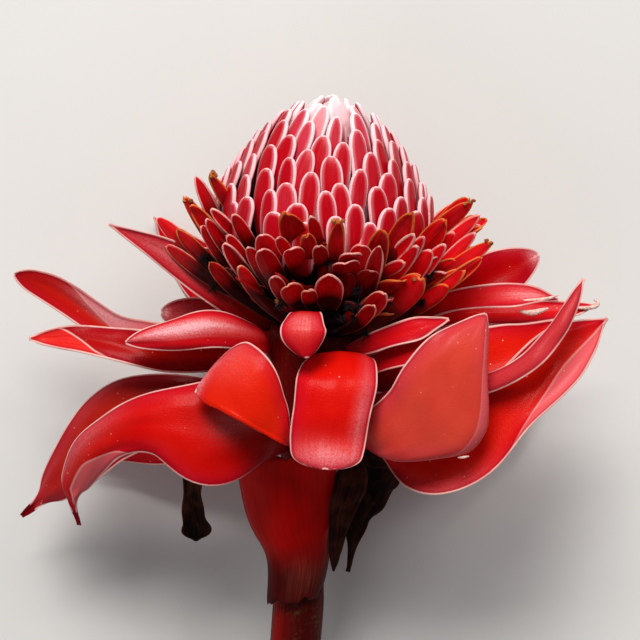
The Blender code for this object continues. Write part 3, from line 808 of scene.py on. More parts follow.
@dataclass(frozen=True)
class Blade:
    """One leaf-like piece: a path, a width at each point of it and the way its face is turned.

    root is the azimuth in degrees and the height at which it leaves the receptacle. path goes on
    from there to the tip. widths has one value more than path, for the root. across holds
    directions from the blade's left margin to its right one, from root to tip. cup is the angle,
    in degrees, by which each half bends up towards the face, at root and tip. curl bends one
    margin further: its side (-1 or 1), where it starts and its angle in degrees. cap is the share
    of the length that is rounded off at the tip. left holds widths of its own for the left half,
    where that half differs from the right one.
    """

    name: str
    root: tuple[float, float]
    path: tuple[Point, ...]
    widths: tuple[float, ...]
    across: tuple[Point, ...]
    cup: tuple[float, float] = (20.0, 20.0)
    curl: tuple[float, float, float] = (1.0, 0.6, 0.0)
    cap: float = 0.08
    thickness: float = 1.4
    left: tuple[float, ...] = ()
    look: Look = Look()

    def turn(self, tangent: Vector, along: float) -> tuple[Vector, Vector]:
        """Directions of the width and of the face.

        Args:
            tangent: Direction of the centre line.
            along: Share of the length.

        Returns:
            The two directions.
        """
        sides = [Vector(side).normalized() for side in self.across]
        side = spline(sides, along) if len(sides) > 1 else sides[0]
        wide = (side - tangent * side.dot(tangent)).normalized()
        return wide, wide.cross(tangent)

    @cached_property
    def points(self) -> list[Vector]:
        """Points of the centre line.

        Returns:
            The points, the first one so far off the receptacle that the root's margins clear it too.
        """
        azimuth, height = math.radians(self.root[0]), self.root[1]
        away = outward(azimuth)
        start = around(azimuth, receptacle_radius(height), height)
        first = PATHS_AT + Vector(self.path[0])
        for _ in range(3):
            wide, face = self.turn((first - start).normalized(), 0.0)
            clear = GAP + self.thickness / 2 * abs(face.dot(away))
            short = 0.0
            for step in range(-4, 5):
                place, rise = self.section(step / 4, math.radians(self.cup[0]))
                edge = start + (wide * place + face * rise) * (self.widths[0] / 2) - HEAD_AT
                level = edge.dot(AXIS)
                short = max(short, receptacle_radius(level) + clear - (edge - AXIS * level).length)
            start += away * short
        return [start, first] + [PATHS_AT + Vector(point) for point in self.path[1:]]

    @cached_property
    def length(self) -> float:
        """Length of the centre line."""
        return sum((after - before).length for before, after in zip(self.points, self.points[1:]))

    @cached_property
    def seed(self) -> int:
        """Number from which the blade's own unevenness comes."""
        return sum(map(ord, self.name)) % 97

    def half_width(self, along: float, across: float) -> float:
        """Width of one half: a smooth curve through its widths, rounded off at the tip.

        Args:
            along: Share of the length.
            across: Place across, whose sign says which half.

        Returns:
            The width of that half.
        """
        widths = self.left if self.left and across < 0.0 else self.widths
        width = spline([Vector((w, 0.0, 0.0)) for w in widths], along).x
        rest = max((along - (1.0 - self.cap)) / self.cap, 0.0)
        width *= math.sqrt(max(1.0 - rest * rest, 0.0))
        return max(width, min(widths[-1], TIP_WIDTH)) / 2.0

    def section(self, across: float, bend: float, steps: int = 12) -> tuple[float, float]:
        """Cross-section of the blade.

        Args:
            across: Place along it, -1 to 1.
            bend: Angle by which each half bends up at its margin.
            steps: How many straight steps it is added up from.

        Returns:
            Place across the blade and above it, as shares of the half width.
        """
        side, start, angle = self.curl
        place, rise = 0.0, 0.0
        for step in range(steps):
            at = across * (step + 0.5) / steps
            extra = max(at * side - start, 0.0) / (1.0 - start)
            aim = bend * at + side * math.radians(angle) * extra
            place += across / steps * math.cos(aim)
            rise += across / steps * math.sin(aim)
        return place, rise

    def surface(self, across: float, along: float) -> Vector:
        """Point of the blade's middle surface.

        Args:
            across: Place across, -1 to 1.
            along: Place along, 0 to 1.

        Returns:
            The point.
        """
        wide, face = self.turn(heading(self.points, along, 0.01), along)
        place, rise = self.section(across, math.radians(self.cup[0] + (self.cup[1] - self.cup[0]) * along))
        half = self.half_width(along, across)
        return spline(self.points, along) + wide * (place * half) + face * (rise * half)

    def relief(self, across: float, along: float) -> float:
        """Height of the surface's own unevenness: keel, waved margins, ripples and the fold.

        Args:
            across: Place across, -1 to 1.
            along: Place along, 0 to 1.

        Returns:
            The height in millimetres.
        """
        look, free = self.look, smooth(along * 4.0)
        x, y = across * max(self.widths) / 2, along * self.length
        keel = -look.keel * math.exp(-((across / 0.16) ** 2)) * (1.0 - along * 0.6)
        wave = look.wave * math.sin(math.tau * look.waves * along + self.seed) * abs(across) ** 3
        ripple = look.ripple * rough(Vector((x, y * 0.45, 0.0)), 7.0, self.seed)
        fine = look.ripple * 0.35 * rough(Vector((x, y * 0.3, 9.0)), 2.6, self.seed)
        beyond = look.crease.beyond(across, along, self.half_width(along, across))
        return free * (keel + wave + ripple + fine) - look.crease.drop * max(beyond, 0.0)

    def face(self, tissue: Tissue) -> None:
        """Makes the blade's middle surface, with every number but the distance to its rim.

        Args:
            tissue: The mesh that it goes into.
        """
        look, (rows, columns) = self.look, self.look.mesh
        bmesh.ops.create_grid(tissue.shape, x_segments=columns, y_segments=rows, size=1.0)
        heights, rim = {}, []
        for vert in tissue.shape.verts:
            across = math.sin(vert.co.x * math.pi / 2)
            along = 1.0 - ((1.0 - vert.co.y) / 2.0) ** TIP_CROWDING
            spur = 1.4 * smooth((along - 1.0 + look.spur) / 0.05) * bool(look.spur)
            beyond = look.crease.beyond(across, along, self.half_width(along, across))
            tissue.mark(vert, along=along, outer=look.turned_out, warm=look.warm, rose=look.rose)
            bloom = sum(patch.at(across, along) for patch in look.blooms)
            tissue.mark(vert, deep=look.deep + spur, bloom=bloom)
            tissue.mark(vert, crease=beyond, pink=look.crease.pink, pale=look.crease.pale)
            vert[tissue.grain] = Vector((across * max(self.widths) / 2, along * self.length, self.seed * 1.7))
            if across > 0.999 or along > 0.999 or across < -0.999 and not look.folded:
                rim.append(vert)
            uneven = look.slant * (across + 1.2 * rough(Vector((across * 5.0, 0.0, 4.0)), 1.0))
            vert.co = self.surface(across, along) + AXIS * (uneven * (1.0 - along) ** 6)
            heights[vert] = self.relief(across, along)
        tissue.shape.normal_update()
        for vert, height in heights.items():
            vert.co += vert.normal * height
        tree = kdtree.KDTree(len(rim))
        for index, vert in enumerate(rim):
            tree.insert(vert.co, index)
        tree.balance()
        for vert in tissue.shape.verts:
            tissue.mark(vert, edge=tree.find(vert.co)[2])

    def sheet(self) -> Tissue:
        """The blade as a closed skin that thins towards its margins.

        Returns:
            Its mesh, with the numbers that its finish reads.
        """
        look = self.look
        tissue = Tissue("edge", "along", "outer", "bloom", "warm", "rose", "deep", "crease", "pink", "pale")
        self.face(tissue)
        shape = tissue.shape
        shape.normal_update()
        verts = list(shape.verts)
        border = [edge for edge in shape.edges if edge.is_boundary]
        made = bmesh.ops.duplicate(shape, geom=verts + list(shape.edges) + list(shape.faces))
        for vert in verts:
            under = made["vert_map"][vert]
            foot = smooth(tissue.read(vert, "along") * 9.0) if look.skin is Skin.SHEATH else 1.0
            inside = smooth(tissue.read(vert, "edge") / 4.0) * foot
            shift = vert.normal * ((look.margin + (look.thick - look.margin) * inside) / 2)
            under.co = vert.co - shift
            vert.co += shift
            tissue.mark(under, outer=not look.turned_out)
        lower = [part for part in made["geom"] if isinstance(part, bmesh.types.BMFace)]
        bmesh.ops.reverse_faces(shape, faces=lower)
        bmesh.ops.bridge_loops(shape, edges=border + [made["edge_map"][edge] for edge in border])
        tissue.face_outwards()
        for vert in shape.verts:
            vert.co.z = max(vert.co.z, CLEAR_OF_FLOOR)
        return tissue


FRONT_BRACTS = (
    Blade(
        "bract_front_centre", (4, -8),
        ((5.4, -7.4, 32), (4.6, -14.5, 43.5), (2.8, -26, 46), (1.4, -36, 45.2), (0.6, -44.4, 47)),
        (12, 21, 26.4, 25.6, 24.8, 22), ((-1, 0, 0), (-1, 0, 0), (-0.98, -0.2, 0)), cup=(-14, -24),
        cap=0.12,
        look=Look(
            warm=0.35, ripple=0.5, keel=-0.3, wave=0.3, mesh=(36, 16),
            blooms=(Patch(0, 0.9, 0.8, 0.1, 0.75), Patch(-0.72, 0.62, 0.16, 0.3, 0.5)),
        ),
    ),
    Blade(
        "bract_front_small", (-17, -1),
        ((-5.2, 4.4, 36), (-5.8, 5.2, 46), (-6.4, 0.4, 51.5), (-5.2, -8.8, 50)), (5, 7, 11.5, 15, 12),
        ((-1, 0, 0),), cup=(10, -34), cap=0.2,
        look=Look(warm=0.3, ripple=0.4, blooms=(Patch(0, 0.66, 0.6, 0.14, 0.6),)),
    ),
    Blade(
        "bract_front_left_reflexed", (-24, -30),
        (
            (-10.7, -36.5, 35), (-18.1, -32.3, 42.5), (-25.5, -28, 45), (-33.2, -23.7, 43),
            (-41.2, -19.4, 38),
        ),
        (5, 4, 25, 39, 44.5, 43), ((0.4, 0.9, 0), (0.48, 0.88, 0.1), (0.42, 0.9, 0.1)), cup=(-14, -26),
        cap=0.15, left=(3, 1.6, 2.4, 3, 3.4, 3.4),
        look=Look(
            warm=1, deep=0.16, folded=True, ripple=0.3, wave=0, mesh=(34, 16),
            blooms=(Patch(0, 1, 1.3, 0.04, 0.9), Patch(0.7, 0.9, 0.35, 0.14, 0.25)),
        ),
    ),
    Blade(
        "bract_front_left_long", (-26, -34),
        (
            (-18.5, -32.5, 22), (-36, -33, 31), (-55, -30, 30), (-69, -33.5, 24), (-79, -41.5, 15),
            (-84.4, -52, 5), (-84, -58, 0), (-82.2, -65.6, -5),
        ),
        (9, 22, 36, 22, 14.5, 13, 11, 3.4, 1.1),
        ((0, 1, 0), (0, 1, -0.1), (-0.4, 0.9, 0), (-0.9, 0.4, 0.2)), cup=(-14, -40),
        left=(9, 22, 36, 22, 17, 18, 13, 3.4, 1.1),
        look=Look(
            warm=0.3, deep=0.14, wave=0.4, ripple=0.8, mesh=(52, 20),
            blooms=(Patch(0.2, 0.2, 0.3, 0.05, 0.5), Patch(0.6, 0.6, 0.5, 0.12, 0.35)), spur=0.1,
            crease=Crease(
                ((0.44, -1.2), (0.52, -0.7), (0.64, -0.2), (0.76, -0.05), (0.86, -0.5), (0.92, -1.2)), -1,
                0.8, 0.5,
            ),
        ),
    ),
    Blade(
        "bract_front_right_erect", (34, -26),
        ((18, -39.6, 31), (28.9, -28.9, 41), (36.7, -17.6, 45), (44.8, -6.1, 45.5), (52.4, 5.4, 41)),
        (10, 5, 44, 46, 26, 3), ((0.45, -0.9, 0.1), (0.5, -0.86, 0), (0.7, -0.7, 0), (0.95, -0.3, 0)),
        cup=(-18, -30), curl=(1, 0.6, -34), cap=0.05, left=(12, 30, 25, 26, 21, 3),
        look=Look(
            turned_out=True, rose=0.8, ripple=0.5, wave=0, mesh=(40, 20),
            crease=Crease(((0.12, 1.3), (0.28, 0.88), (0.5, 0.76), (0.8, 0.6), (1, 0.4)), 1, 0.7, 0.12),
        ),
    ),
    Blade(
        "bract_right_boat", (58, -38),
        (
            (18, -37, 6), (32.7, -41, 18.6), (46.4, -35, 25), (62, -22.4, 26), (78.3, -6.3, 23),
            (93.6, 3.9, 18),
        ),
        (8, 6, 28, 32, 24, 19, 1.6),
        (
            (0.1, -1, 0.1), (0.1, -1, 0.1), (0.15, -1, 0.1), (0.7, -0.7, 0.1), (0.75, -0.67, 0.1),
            (0.76, -0.65, 0.1),
        ),
        cup=(16, 24), curl=(1, 0.6, 50), left=(8, 14, 21, 26, 21, 17, 1.6),
        look=Look(
            warm=0.5, deep=0.1, ripple=0.8, wave=0.8, mesh=(42, 20),
            blooms=(Patch(0.9, 0.4, 0.3, 0.12, 0.3),),
            crease=Crease(
                ((0.5, 1.3), (0.58, 1), (0.68, 0.66), (0.8, 0.42), (0.92, 0.42), (1, 0.5)), 1, 0.75, 0.4,
            ),
        ),
    ),
)

SIDE_BRACTS = (
    Blade(
        "bract_left_rolled", (-62, -5),
        ((-20, -4.8, 18), (-34.4, -2.6, 23), (-49, -3.6, 23), (-65, -4.2, 18.5)), (7, 13, 19.5, 17, 4),
        ((0, 1, 0.2), (0, 1, 0.5), (-0.2, 1, 0.3)), cup=(2, 8), curl=(1, 0, -78), cap=0.1,
        left=(7, 6, 6.6, 7, 3),
        look=Look(warm=0.4, ripple=0.4, mesh=(30, 14), blooms=(Patch(0.42, 0.7, 0.2, 0.24, 2.3),)),
    ),
    Blade(
        "bract_left_twisted", (-84, -12),
        ((-28, -7.4, 5), (-50, -7.4, 8), (-68.4, -5, 7), (-85, -2.4, 4), (-98.3, -2.6, 2)),
        (7, 12, 14, 12, 8.5, 1.3), ((0, 1, 0.1), (0, 1, 0.3), (0, 0.9, -0.5), (0, 1, -0.3)), cup=(16, 34),
        look=Look(
            warm=0.4, deep=0.55, mesh=(36, 14),
            crease=Crease(
                (
                    (0.48, -1.4), (0.6, -1.04), (0.68, -0.7), (0.78, 0.25), (0.86, 1.04), (0.92, 1.5),
                    (1, 1.5),
                ),
                -1, 0.12, 0.8,
            ),
        ),
    ),
    Blade(
        "bract_left_narrow", (-103, -8),
        ((-40, -3, -11), (-57.5, -3, -13), (-71, 0.2, -12), (-89, 12.6, -9), (-104, 19.2, -6)),
        (6, 9, 10, 11, 11.5, 6), ((0, 1, 0.3), (0.3, 1, 0.2), (0.4, 0.9, 0.4)), cup=(20, 40),
        look=Look(
            warm=0.9, deep=0.3, mesh=(32, 14), blooms=(Patch(0.55, 0.62, 0.4, 0.12, 1.3),),
            crease=Crease(
                ((0.3, -0.4), (0.5, -0.2), (0.6, 0.05), (0.7, 0.45), (0.8, 1), (0.86, 1.4)), 1, 1.2, 0.5,
            ),
        ),
    ),
    Blade(
        "bract_left_ascending", (-118, -1),
        ((-23, 4.6, -8), (-38.4, 15.4, -7), (-52, 25.8, -3), (-71.6, 35.4, 2)), (6, 9, 11.5, 10.5, 1.3),
        ((0.5, 0.8, 0.2),), cup=(16, 30),
        look=Look(warm=0.4, mesh=(28, 12), blooms=(Patch(0, 0.7, 0.6, 0.25, 0.6),)),
    ),
    Blade(
        "bract_left_back_small", (-137, -9), ((-26, 1, -23), (-41, 4.6, -25), (-55.5, 6, -24)),
        (6, 9, 14, 12), ((0.2, 1, 0.2),), cap=0.3,
        look=Look(warm=0.1, blooms=(Patch(0, 0.8, 0.9, 0.2, 0.5), Patch(0, 1, 1.4, 0.05, 2))),
    ),
    Blade(
        "bract_left_low", (-90, -31),
        (
            (-38, -26.5, -3), (-60, -27, -3), (-73, -32, -7), (-83, -43, -14), (-93, -54, -23),
            (-97.5, -58.8, -27), (-104, -64.2, -31),
        ),
        (8, 20, 26, 27, 21, 13, 4.2, 1.1),
        ((0, 1, -0.1), (-0.2, 1, -0.2), (-0.6, 0.7, -0.2), (-0.8, 0.5, 0)), cup=(-12, -30),
        look=Look(spur=0.11, turned_out=True, rose=0.1, deep=0.3, ripple=0.8, wave=0.8, mesh=(34, 14)),
    ),
    Blade(
        "bract_right_small_upper", (30, -3), ((18, -3.4, 27), (30, 0.4, 31), (41, 3.6, 30)), (5, 7, 8, 1.3),
        ((0.2, -1, 0.2),), cup=(24, 30),
    ),
    Blade(
        "bract_right_small_lower", (45, -10), ((22, -9, 24), (34, -4.5, 27), (46, -0.5, 25)),
        (5, 8, 9, 1.3), ((0.2, -1, 0.2),), cup=(20, 30),
    ),
    Blade(
        "bract_right_inner", (66, -13),
        ((28, -13.5, 12), (49.4, -12.5, 17), (65.8, -6.5, 16), (78, 3.6, 13)), (9, 17, 25, 20, 1.3),
        ((0.1, -1, 0.3), (0.3, -1, 0.1)), cup=(12, 20), look=Look(warm=0.6, mesh=(28, 12)),
    ),
    Blade(
        "bract_right_upright", (66, -26),
        (
            (31, -21, 27.4), (52, -17.4, 34), (65.6, -10.6, 36.5), (73.8, -2.2, 36), (79.2, 6.4, 35),
            (84.6, 16.8, 31),
        ),
        (9, 8.4, 7.2, 6.8, 6.8, 6, 1.2), ((0.5, -0.7, 0.5), (0.7, -0.6, 0.3), (0.85, -0.5, 0.2)),
        cup=(-20, -36), look=Look(turned_out=True, rose=0.4, deep=0.1, mesh=(30, 10)),
    ),
    Blade(
        "bract_right_long", (84, -3), ((36, 7, 7), (53, 10.4, 10), (68, 11.2, 10), (78.2, 10.2, 8)),
        (5, 8, 10.5, 9, 1.3), ((0.1, -1, 0.8),), cup=(20, 36),
        look=Look(warm=0.4, blooms=(Patch(0, 0.75, 0.5, 0.15, 0.9),)),
    ),
    Blade(
        "bract_right_hooked", (103, -12), ((40, 3.6, -9), (62, 5.4, -7), (79, 6.2, -6), (92, 8.4, -6)),
        (5, 8, 10, 8, 1.3), ((0.1, -1, 0.5),), cup=(20, 40),
    ),
    Blade(
        "bract_right_back_broad", (128, -5),
        ((29, 1.5, -21), (44, 8.5, -26), (59, 17.8, -29), (74.5, 26, -29)), (7, 12, 17, 19, 15),
        ((0.35, -1, 0.1),), cup=(14, 16), cap=0.3,
        look=Look(warm=0, deep=0.35, blooms=(Patch(0, 1, 1.4, 0.04, 1.6),)),
    ),
)

BACK_BRACTS = (
    Blade(
        "bract_resting_left", (-160, -14),
        ((-16, -4, -41), (-31, 8, -56.5), (-46, 24, -61.7), (-60, 40, -60)), (10, 17, 20, 18, 1.5),
        ((0.7, 0.7, 0.3), (0.8, 0.6, 0.2)), cup=(14, 12),
    ),
    Blade(
        "bract_resting_right", (158, -14),
        ((17, -6, -41), (35, 1.5, -56.5), (54, 11, -61.9), (71, 22, -61)), (10, 19, 23, 17, 1.5),
        ((0.6, -0.8, 0.3), (0.5, -0.9, 0.2)), cup=(14, 12),
    ),
    Blade(
        "bract_back_centre", (178, -2), ((0, 7, -38), (1, 24, -51), (3, 44, -56), (5, 62, -53)),
        (11, 20, 27, 23, 1.5), ((1, 0, 0),), cup=(16, 14),
    ),
    Blade(
        "bract_back_left_low", (-126, -35),
        ((-27, -30, -30), (-47, -34, -42), (-66, -38, -50), (-83, -45, -53)), (9, 19, 25, 20, 1.3),
        ((-0.2, 1, 0),), cup=(-10, -20),
    ),
    Blade(
        "bract_back_right_low", (128, -34),
        ((27, -34, -28), (45, -33, -41), (62, -25, -49), (76, -13, -52)), (9, 19, 25, 20, 1.3),
        ((0.3, -1, 0),), cup=(12, 20),
    ),
    Blade(
        "bract_back_right_inner", (150, -6), ((20, 6, -36), (36, 15, -42), (52, 23, -43)), (7, 13, 17, 1.5),
        ((0.5, -0.8, 0.2),),
    ),
    Blade(
        "bract_back_left_inner", (-150, -4), ((-19.5, 8.6, -36), (-32.6, 19, -42), (-44.6, 29, -43)),
        (7, 13, 17, 1.5), ((0.5, 0.8, 0.2),),
    ),
    Blade(
        "bract_back_hanging", (179, -42), ((-3, -47, -32), (-5, -60, -42), (-8, -72, -51)),
        (9, 17, 20, 1.5), ((-1, 0, 0),),
    ),
)

SHEATHS = (
    Blade(
        "stem_sheath", (-8, -93),
        ((-8.4, -80, -10.4), (-10, -70.5, -6), (-11.8, -60, -1.4), (-12.5, -50.5, 4), (-12.3, -43, 8.6)),
        (24.4, 27.2, 33.4, 37.2, 39, 38), ((1, 0, 0),), cup=(-76, -50), cap=0.1,
        look=Look(
            skin=Skin.SHEATH, ripple=0.5, wave=0, keel=0, mesh=(34, 26),
            blooms=(Patch(0.2, 0.15, 0.5, 0.12, 0.4), Patch(-0.45, 0.6, 0.2, 0.3, 0.15)), slant=3,
        ),
    ),
    Blade(
        "withered_sheath", (82, -43),
        ((9.4, -50, -5.4), (6.6, -59, -6.4), (4.6, -70, -8.6), (3.4, -82, -12.4)), (6, 12, 10, 6, 2),
        ((-1, 0, -0.2),), cup=(-10, -10),
        look=Look(skin=Skin.WITHERED, warm=0.3, ripple=0.9, wave=1, waves=3.5, thick=1.1),
    ),
    Blade(
        "withered_bract_right", (98, -41),
        ((21, -44.5, -16), (17.6, -52, -20.5), (14, -60.5, -22.5), (11, -68, -23.4), (8.3, -83, -24)),
        (6, 13, 15, 11, 6.5, 2), ((0.1, -1, 0.2), (0.8, -0.6, 0.2), (0.9, -0.4, 0.1)), cup=(20, 50),
        look=Look(skin=Skin.WITHERED, warm=0.1, ripple=1.1, wave=1.2, waves=4, thick=1.1, mesh=(30, 10)),
    ),
    Blade(
        "withered_bract_left", (-104, -42),
        (
            (-27, -40, -15), (-40, -41.5, -15), (-44, -50, -15), (-44.2, -60, -16), (-43.2, -66.5, -17),
            (-42.9, -72, -17),
        ),
        (5, 6, 7, 8, 6.4, 11.6, 6), ((0, 1, 0.2), (-0.6, 0.8, 0.1), (-1, 0, 0)), cup=(20, 60),
        look=Look(skin=Skin.WITHERED, warm=0.1, ripple=1.1, wave=1, waves=4.5, thick=1.1, mesh=(32, 10)),
    ),
)


# ---------------------------------------------------------------- the head


@dataclass
class Involucre:
    """The big bracts round the foot of the head, and the sheaths below it."""

    blades: tuple[Blade, ...] = FRONT_BRACTS + SIDE_BRACTS + BACK_BRACTS + SHEATHS

    def build(self) -> None:
        """Makes every blade and dresses it."""
        skins = {
            Skin.WAXY: (WaxyBract().material(), "bract_red"),
            Skin.SHEATH: (SheathSkin().material(), "sheath_red"),
            Skin.WITHERED: (Withered().material(), "withered_brown"),
        }
        for blade in self.blades:
            material, slot = skins[blade.look.skin]
            settle(blade.sheet().finished(f"dressed_{blade.name}", material, 1), slot, blade.name)


@dataclass
class ClosedBracts:
    """Dome of closed floral bracts, in a golden-angle spiral on its core.

    The tips lie between the heights top and foot, on a dome whose shape comes from radius and power
    and which stands to the left of the axis by aside. count is how many bracts there are, crown how
    many more fill the middle of the top. lean is how far the lowest ones spread and lean_in how far
    the uppermost close up. inset is how far the uppermost tips stand in from the dome, and low_inset
    the lowest ones. Each bract has a length, width and thickness, a middle that stands out by bulge
    and a tip that is round from the share round_from of its length.
    """

    top: float = 81.0
    foot: float = 45.0
    radius: float = 38.5
    power: float = 0.51
    aside: float = 2.0
    count: int = 116
    crown: int = 6
    crowding: float = 0.9
    first_angle: float = 0.35
    lean: float = 0.52
    lean_in: float = 0.3
    inset: float = 3.0
    low_inset: float = 2.4
    length: float = 30.0
    width: float = 8.1
    thickness: float = 2.5
    bulge: float = 2.4
    round_from: float = 0.77
    mesh: tuple[int, int] = (10, 9)
    core_depth: float = 14.0
    core_foot: tuple[tuple[float, float], ...] = ((0.5, 17.0), (17.0, 17.0), (20.0, 32.0))
    core_heights: tuple[float, ...] = (40.0, 48.0, 56.0, 63.0, 69.0)
    core_crown: tuple[tuple[float, float], ...] = ((8.6, 11.0), (7.4, 7.0), (4.6, 3.6), (0.5, 2.2))
    core_sides: int = 24
    seed: int = 11

    def dome_radius(self, height: float) -> float:
        """Radius of the surface on which the tips lie."""
        share = max(self.top - height, 0.0) / (self.top - self.foot)
        return self.radius * share**self.power

    def outline(self, along: float) -> float:
        """Half width of a bract as a share of its greatest: near parallel, with a round tip."""
        rest = max((along - self.round_from) / (1.0 - self.round_from), 0.0)
        return math.sqrt(max(1.0 - rest * rest, 0.0)) * (0.72 + 0.28 * smooth(along / 0.75))

    def bract(self, index: int, tissue: Tissue, chance: random.Random) -> None:
        """Adds one closed bract.

        Args:
            index: Its number in the spiral, from the top.
            tissue: The mesh of all of them.
            chance: Where its small irregularities come from.
        """
        share = ((abs(index) + 0.5) / self.count) ** self.crowding
        height = self.top - (self.top - self.foot) * share + chance.uniform(-0.9, 0.5)
        azimuth = index * GOLDEN_ANGLE + self.first_angle + chance.uniform(-0.05, 0.05)
        away = outward(azimuth)
        slope = self.lean * share**1.3 - self.lean_in + chance.uniform(-0.04, 0.04)
        upward = (AXIS + away * slope + AXIS.cross(away) * chance.uniform(-0.14, 0.14)).normalized()
        length = self.length * (1.0 - 0.3 * share**3)
        width = self.width * (0.76 + 0.24 * smooth(share * 2.5)) * chance.uniform(0.86, 1.1)
        inset = self.inset * (1.0 - smooth(share / 0.1)) + self.low_inset * smooth((share - 0.86) / 0.12)
        tip = around(azimuth, self.dome_radius(height) - inset, height) - away * (self.thickness / 2)
        tip.x -= self.aside
        middle = tip - upward * (length / 2) + away * (self.bulge + self.inset * (1.0 - smooth(share / 0.14)))
        path = [tip - upward * length, middle, tip]
        wide = (AXIS.cross(away) + away * chance.uniform(-0.2, 0.2)).normalized()
        tone = chance.random()
        around_it, along_it = self.mesh
        made = bmesh.ops.create_uvsphere(tissue.shape, u_segments=around_it, v_segments=along_it, radius=1.0)
        for vert in made["verts"]:
            x, y, z = vert.co
            ring = math.sqrt(max(1.0 - z * z, 1e-9))
            across, proud = (0.0, 0.0) if abs(z) > 0.9999 else (x / ring, y / ring)
            across = math.copysign(abs(across) ** 0.75, across)
            along = 1.0 - (math.acos(max(min(z, 1.0), -1.0)) / math.pi) ** TIP_CROWDING
            half = self.outline(along)
            face = wide.cross(heading(path, along, 0.05)).normalized()
            rise = proud * self.thickness / 2 * min(half * 1.3, 1.0)
            vert.co = spline(path, along) + wide * (across * half * width / 2) + face * rise
            tissue.mark(vert, aside=across, half=half * width / 2, ahead=(1.0 - along) * length)
            tissue.mark(vert, along=along, share=share, tone=tone, front=proud)
            vert[tissue.grain] = Vector((across * width / 2, along * length, index * 3.7))

    def core(self, tissue: Tissue) -> None:
        """Adds the core, darkened below by painted shade and as pale as the bracts' tips at its crown, partly
        painted highlight.

        Args:
            tissue: The mesh of the whole head.
        """
        profile = list(self.core_foot)
        profile += [(self.dome_radius(height) - self.core_depth, height) for height in self.core_heights]
        profile += [(radius, self.top - depth) for radius, depth in self.core_crown]
        for vert in tissue.turned(profile, self.core_sides):
            crown = smooth(((vert.co - HEAD_AT).dot(AXIS) - self.top + 22.0) / 8.0)
            edge = 9.0 - 7.6 * crown
            tissue.mark(vert, share=1.0 - 0.95 * crown, along=0.4 + 0.6 * crown)
            tissue.mark(vert, front=crown, half=edge, ahead=edge)

    def build(self) -> None:
        """Makes the core and every closed bract as one piece, and dresses it."""
        tissue = Tissue("aside", "half", "ahead", "along", "share", "tone", "front")
        chance = random.Random(self.seed)
        for index in range(-self.crown, self.count):
            self.bract(index, tissue, chance)
        self.core(tissue)
        tissue.face_outwards()
        head = tissue.finished("closed_floral_head", ClosedFlesh().material(), 1)
        settle(head, "floral_pink", "closed_floral_bracts")


# Spent bracts of the upper side as the camera sees them, each one's place given: its tip, a place
# further down it and its width, in quarter pixels from VIEW_CORNER, then its tone and how dry it is.
UPPER_SIGHTS = (
    (170, 25, 200, 130, 55, 0.95, 0), (222, 18, 300, 85, 50, 0.3, 0.9),
    (125, 112, 190, 240, 50, 0.35, 0.7), (150, 140, 260, 240, 60, 0.3, 0.6),
    (235, 155, 370, 250, 44, 0.9, 0), (320, 180, 380, 260, 56, 0.5, 0),
    (15, 192, 90, 260, 62, 0.8, 0), (100, 240, 200, 350, 54, 0.25, 0.5),
    (208, 200, 290, 290, 46, 0.6, 0.1), (190, 225, 290, 340, 54, 0.55, 0.2),
    (285, 295, 360, 370, 60, 0.3, 0), (302, 255, 400, 370, 52, 0.7, 0),
    (440, 252, 500, 370, 88, 0.75, 0), (495, 265, 565, 335, 46, 0.9, 0),
    (556, 316, 640, 430, 84, 0.85, 0), (432, 320, 540, 460, 78, 0.45, 0),
    (342, 385, 480, 580, 54, 0.8, 0.35), (222, 366, 330, 510, 54, 0.1, 0.4),
    (545, 454, 635, 560, 84, 0.5, 0.3), (708, 418, 705, 545, 108, 0.5, 0.2),
    (838, 303, 890, 400, 92, 0.9, 0), (795, 337, 840, 420, 96, 0.5, 0.2),
    (770, 372, 800, 470, 104, 0.3, 0.2), (738, 205, 725, 330, 62, 0.3, 1),
    (612, 262, 640, 380, 64, 0.35, 1), (540, 172, 600, 300, 96, 0.25, 0.9),
    (636, 183, 690, 330, 50, 0.95, 0), (915, 238, 925, 360, 84, 0.2, 0.9),
    (1030, 168, 990, 290, 84, 0.25, 1), (1040, 256, 930, 340, 50, 0.8, 0.2),
    (1005, 372, 890, 400, 48, 0.85, 0.2), (1060, 300, 990, 370, 56, 0.6, 0),
    (1172, 192, 1090, 280, 82, 0.25, 0.9), (1270, 130, 1130, 200, 62, 0.3, 0.8),
    (1310, 184, 1180, 270, 48, 0.85, 0.2), (1212, 245, 1140, 330, 60, 0.8, 0.1),
    (1294, 252, 1190, 350, 48, 0.95, 0), (1358, 284, 1200, 370, 52, 0.85, 0.5),
    (1316, 350, 1180, 450, 52, 0.5, 0.7), (1214, 356, 1100, 410, 50, 0.45, 0.6),
    (1066, 428, 960, 560, 108, 0.75, 0.6), (1110, 315, 1010, 430, 76, 0.9, 0),
    (922, 490, 730, 640, 74, 0.7, 0.3), (1245, 402, 1100, 540, 62, 0.75, 0.5),
    (1165, 300, 1090, 390, 54, 0.7, 0), (660, 300, 690, 400, 60, 0.3, 0.2),
    (60, 300, 170, 390, 52, 0.3, 0.3), (380, 300, 450, 390, 52, 0.5, 0),
    (905, 300, 880, 400, 66, 0.45, 0.2), (1085, 265, 1010, 350, 54, 0.6, 0),
    (880, 540, 800, 600, 56, 0.15, 0.3), (620, 480, 670, 580, 60, 0.2, 0.3),
    (480, 420, 560, 520, 56, 0.25, 0.1), (1180, 470, 1060, 560, 58, 0.35, 0.5),
)


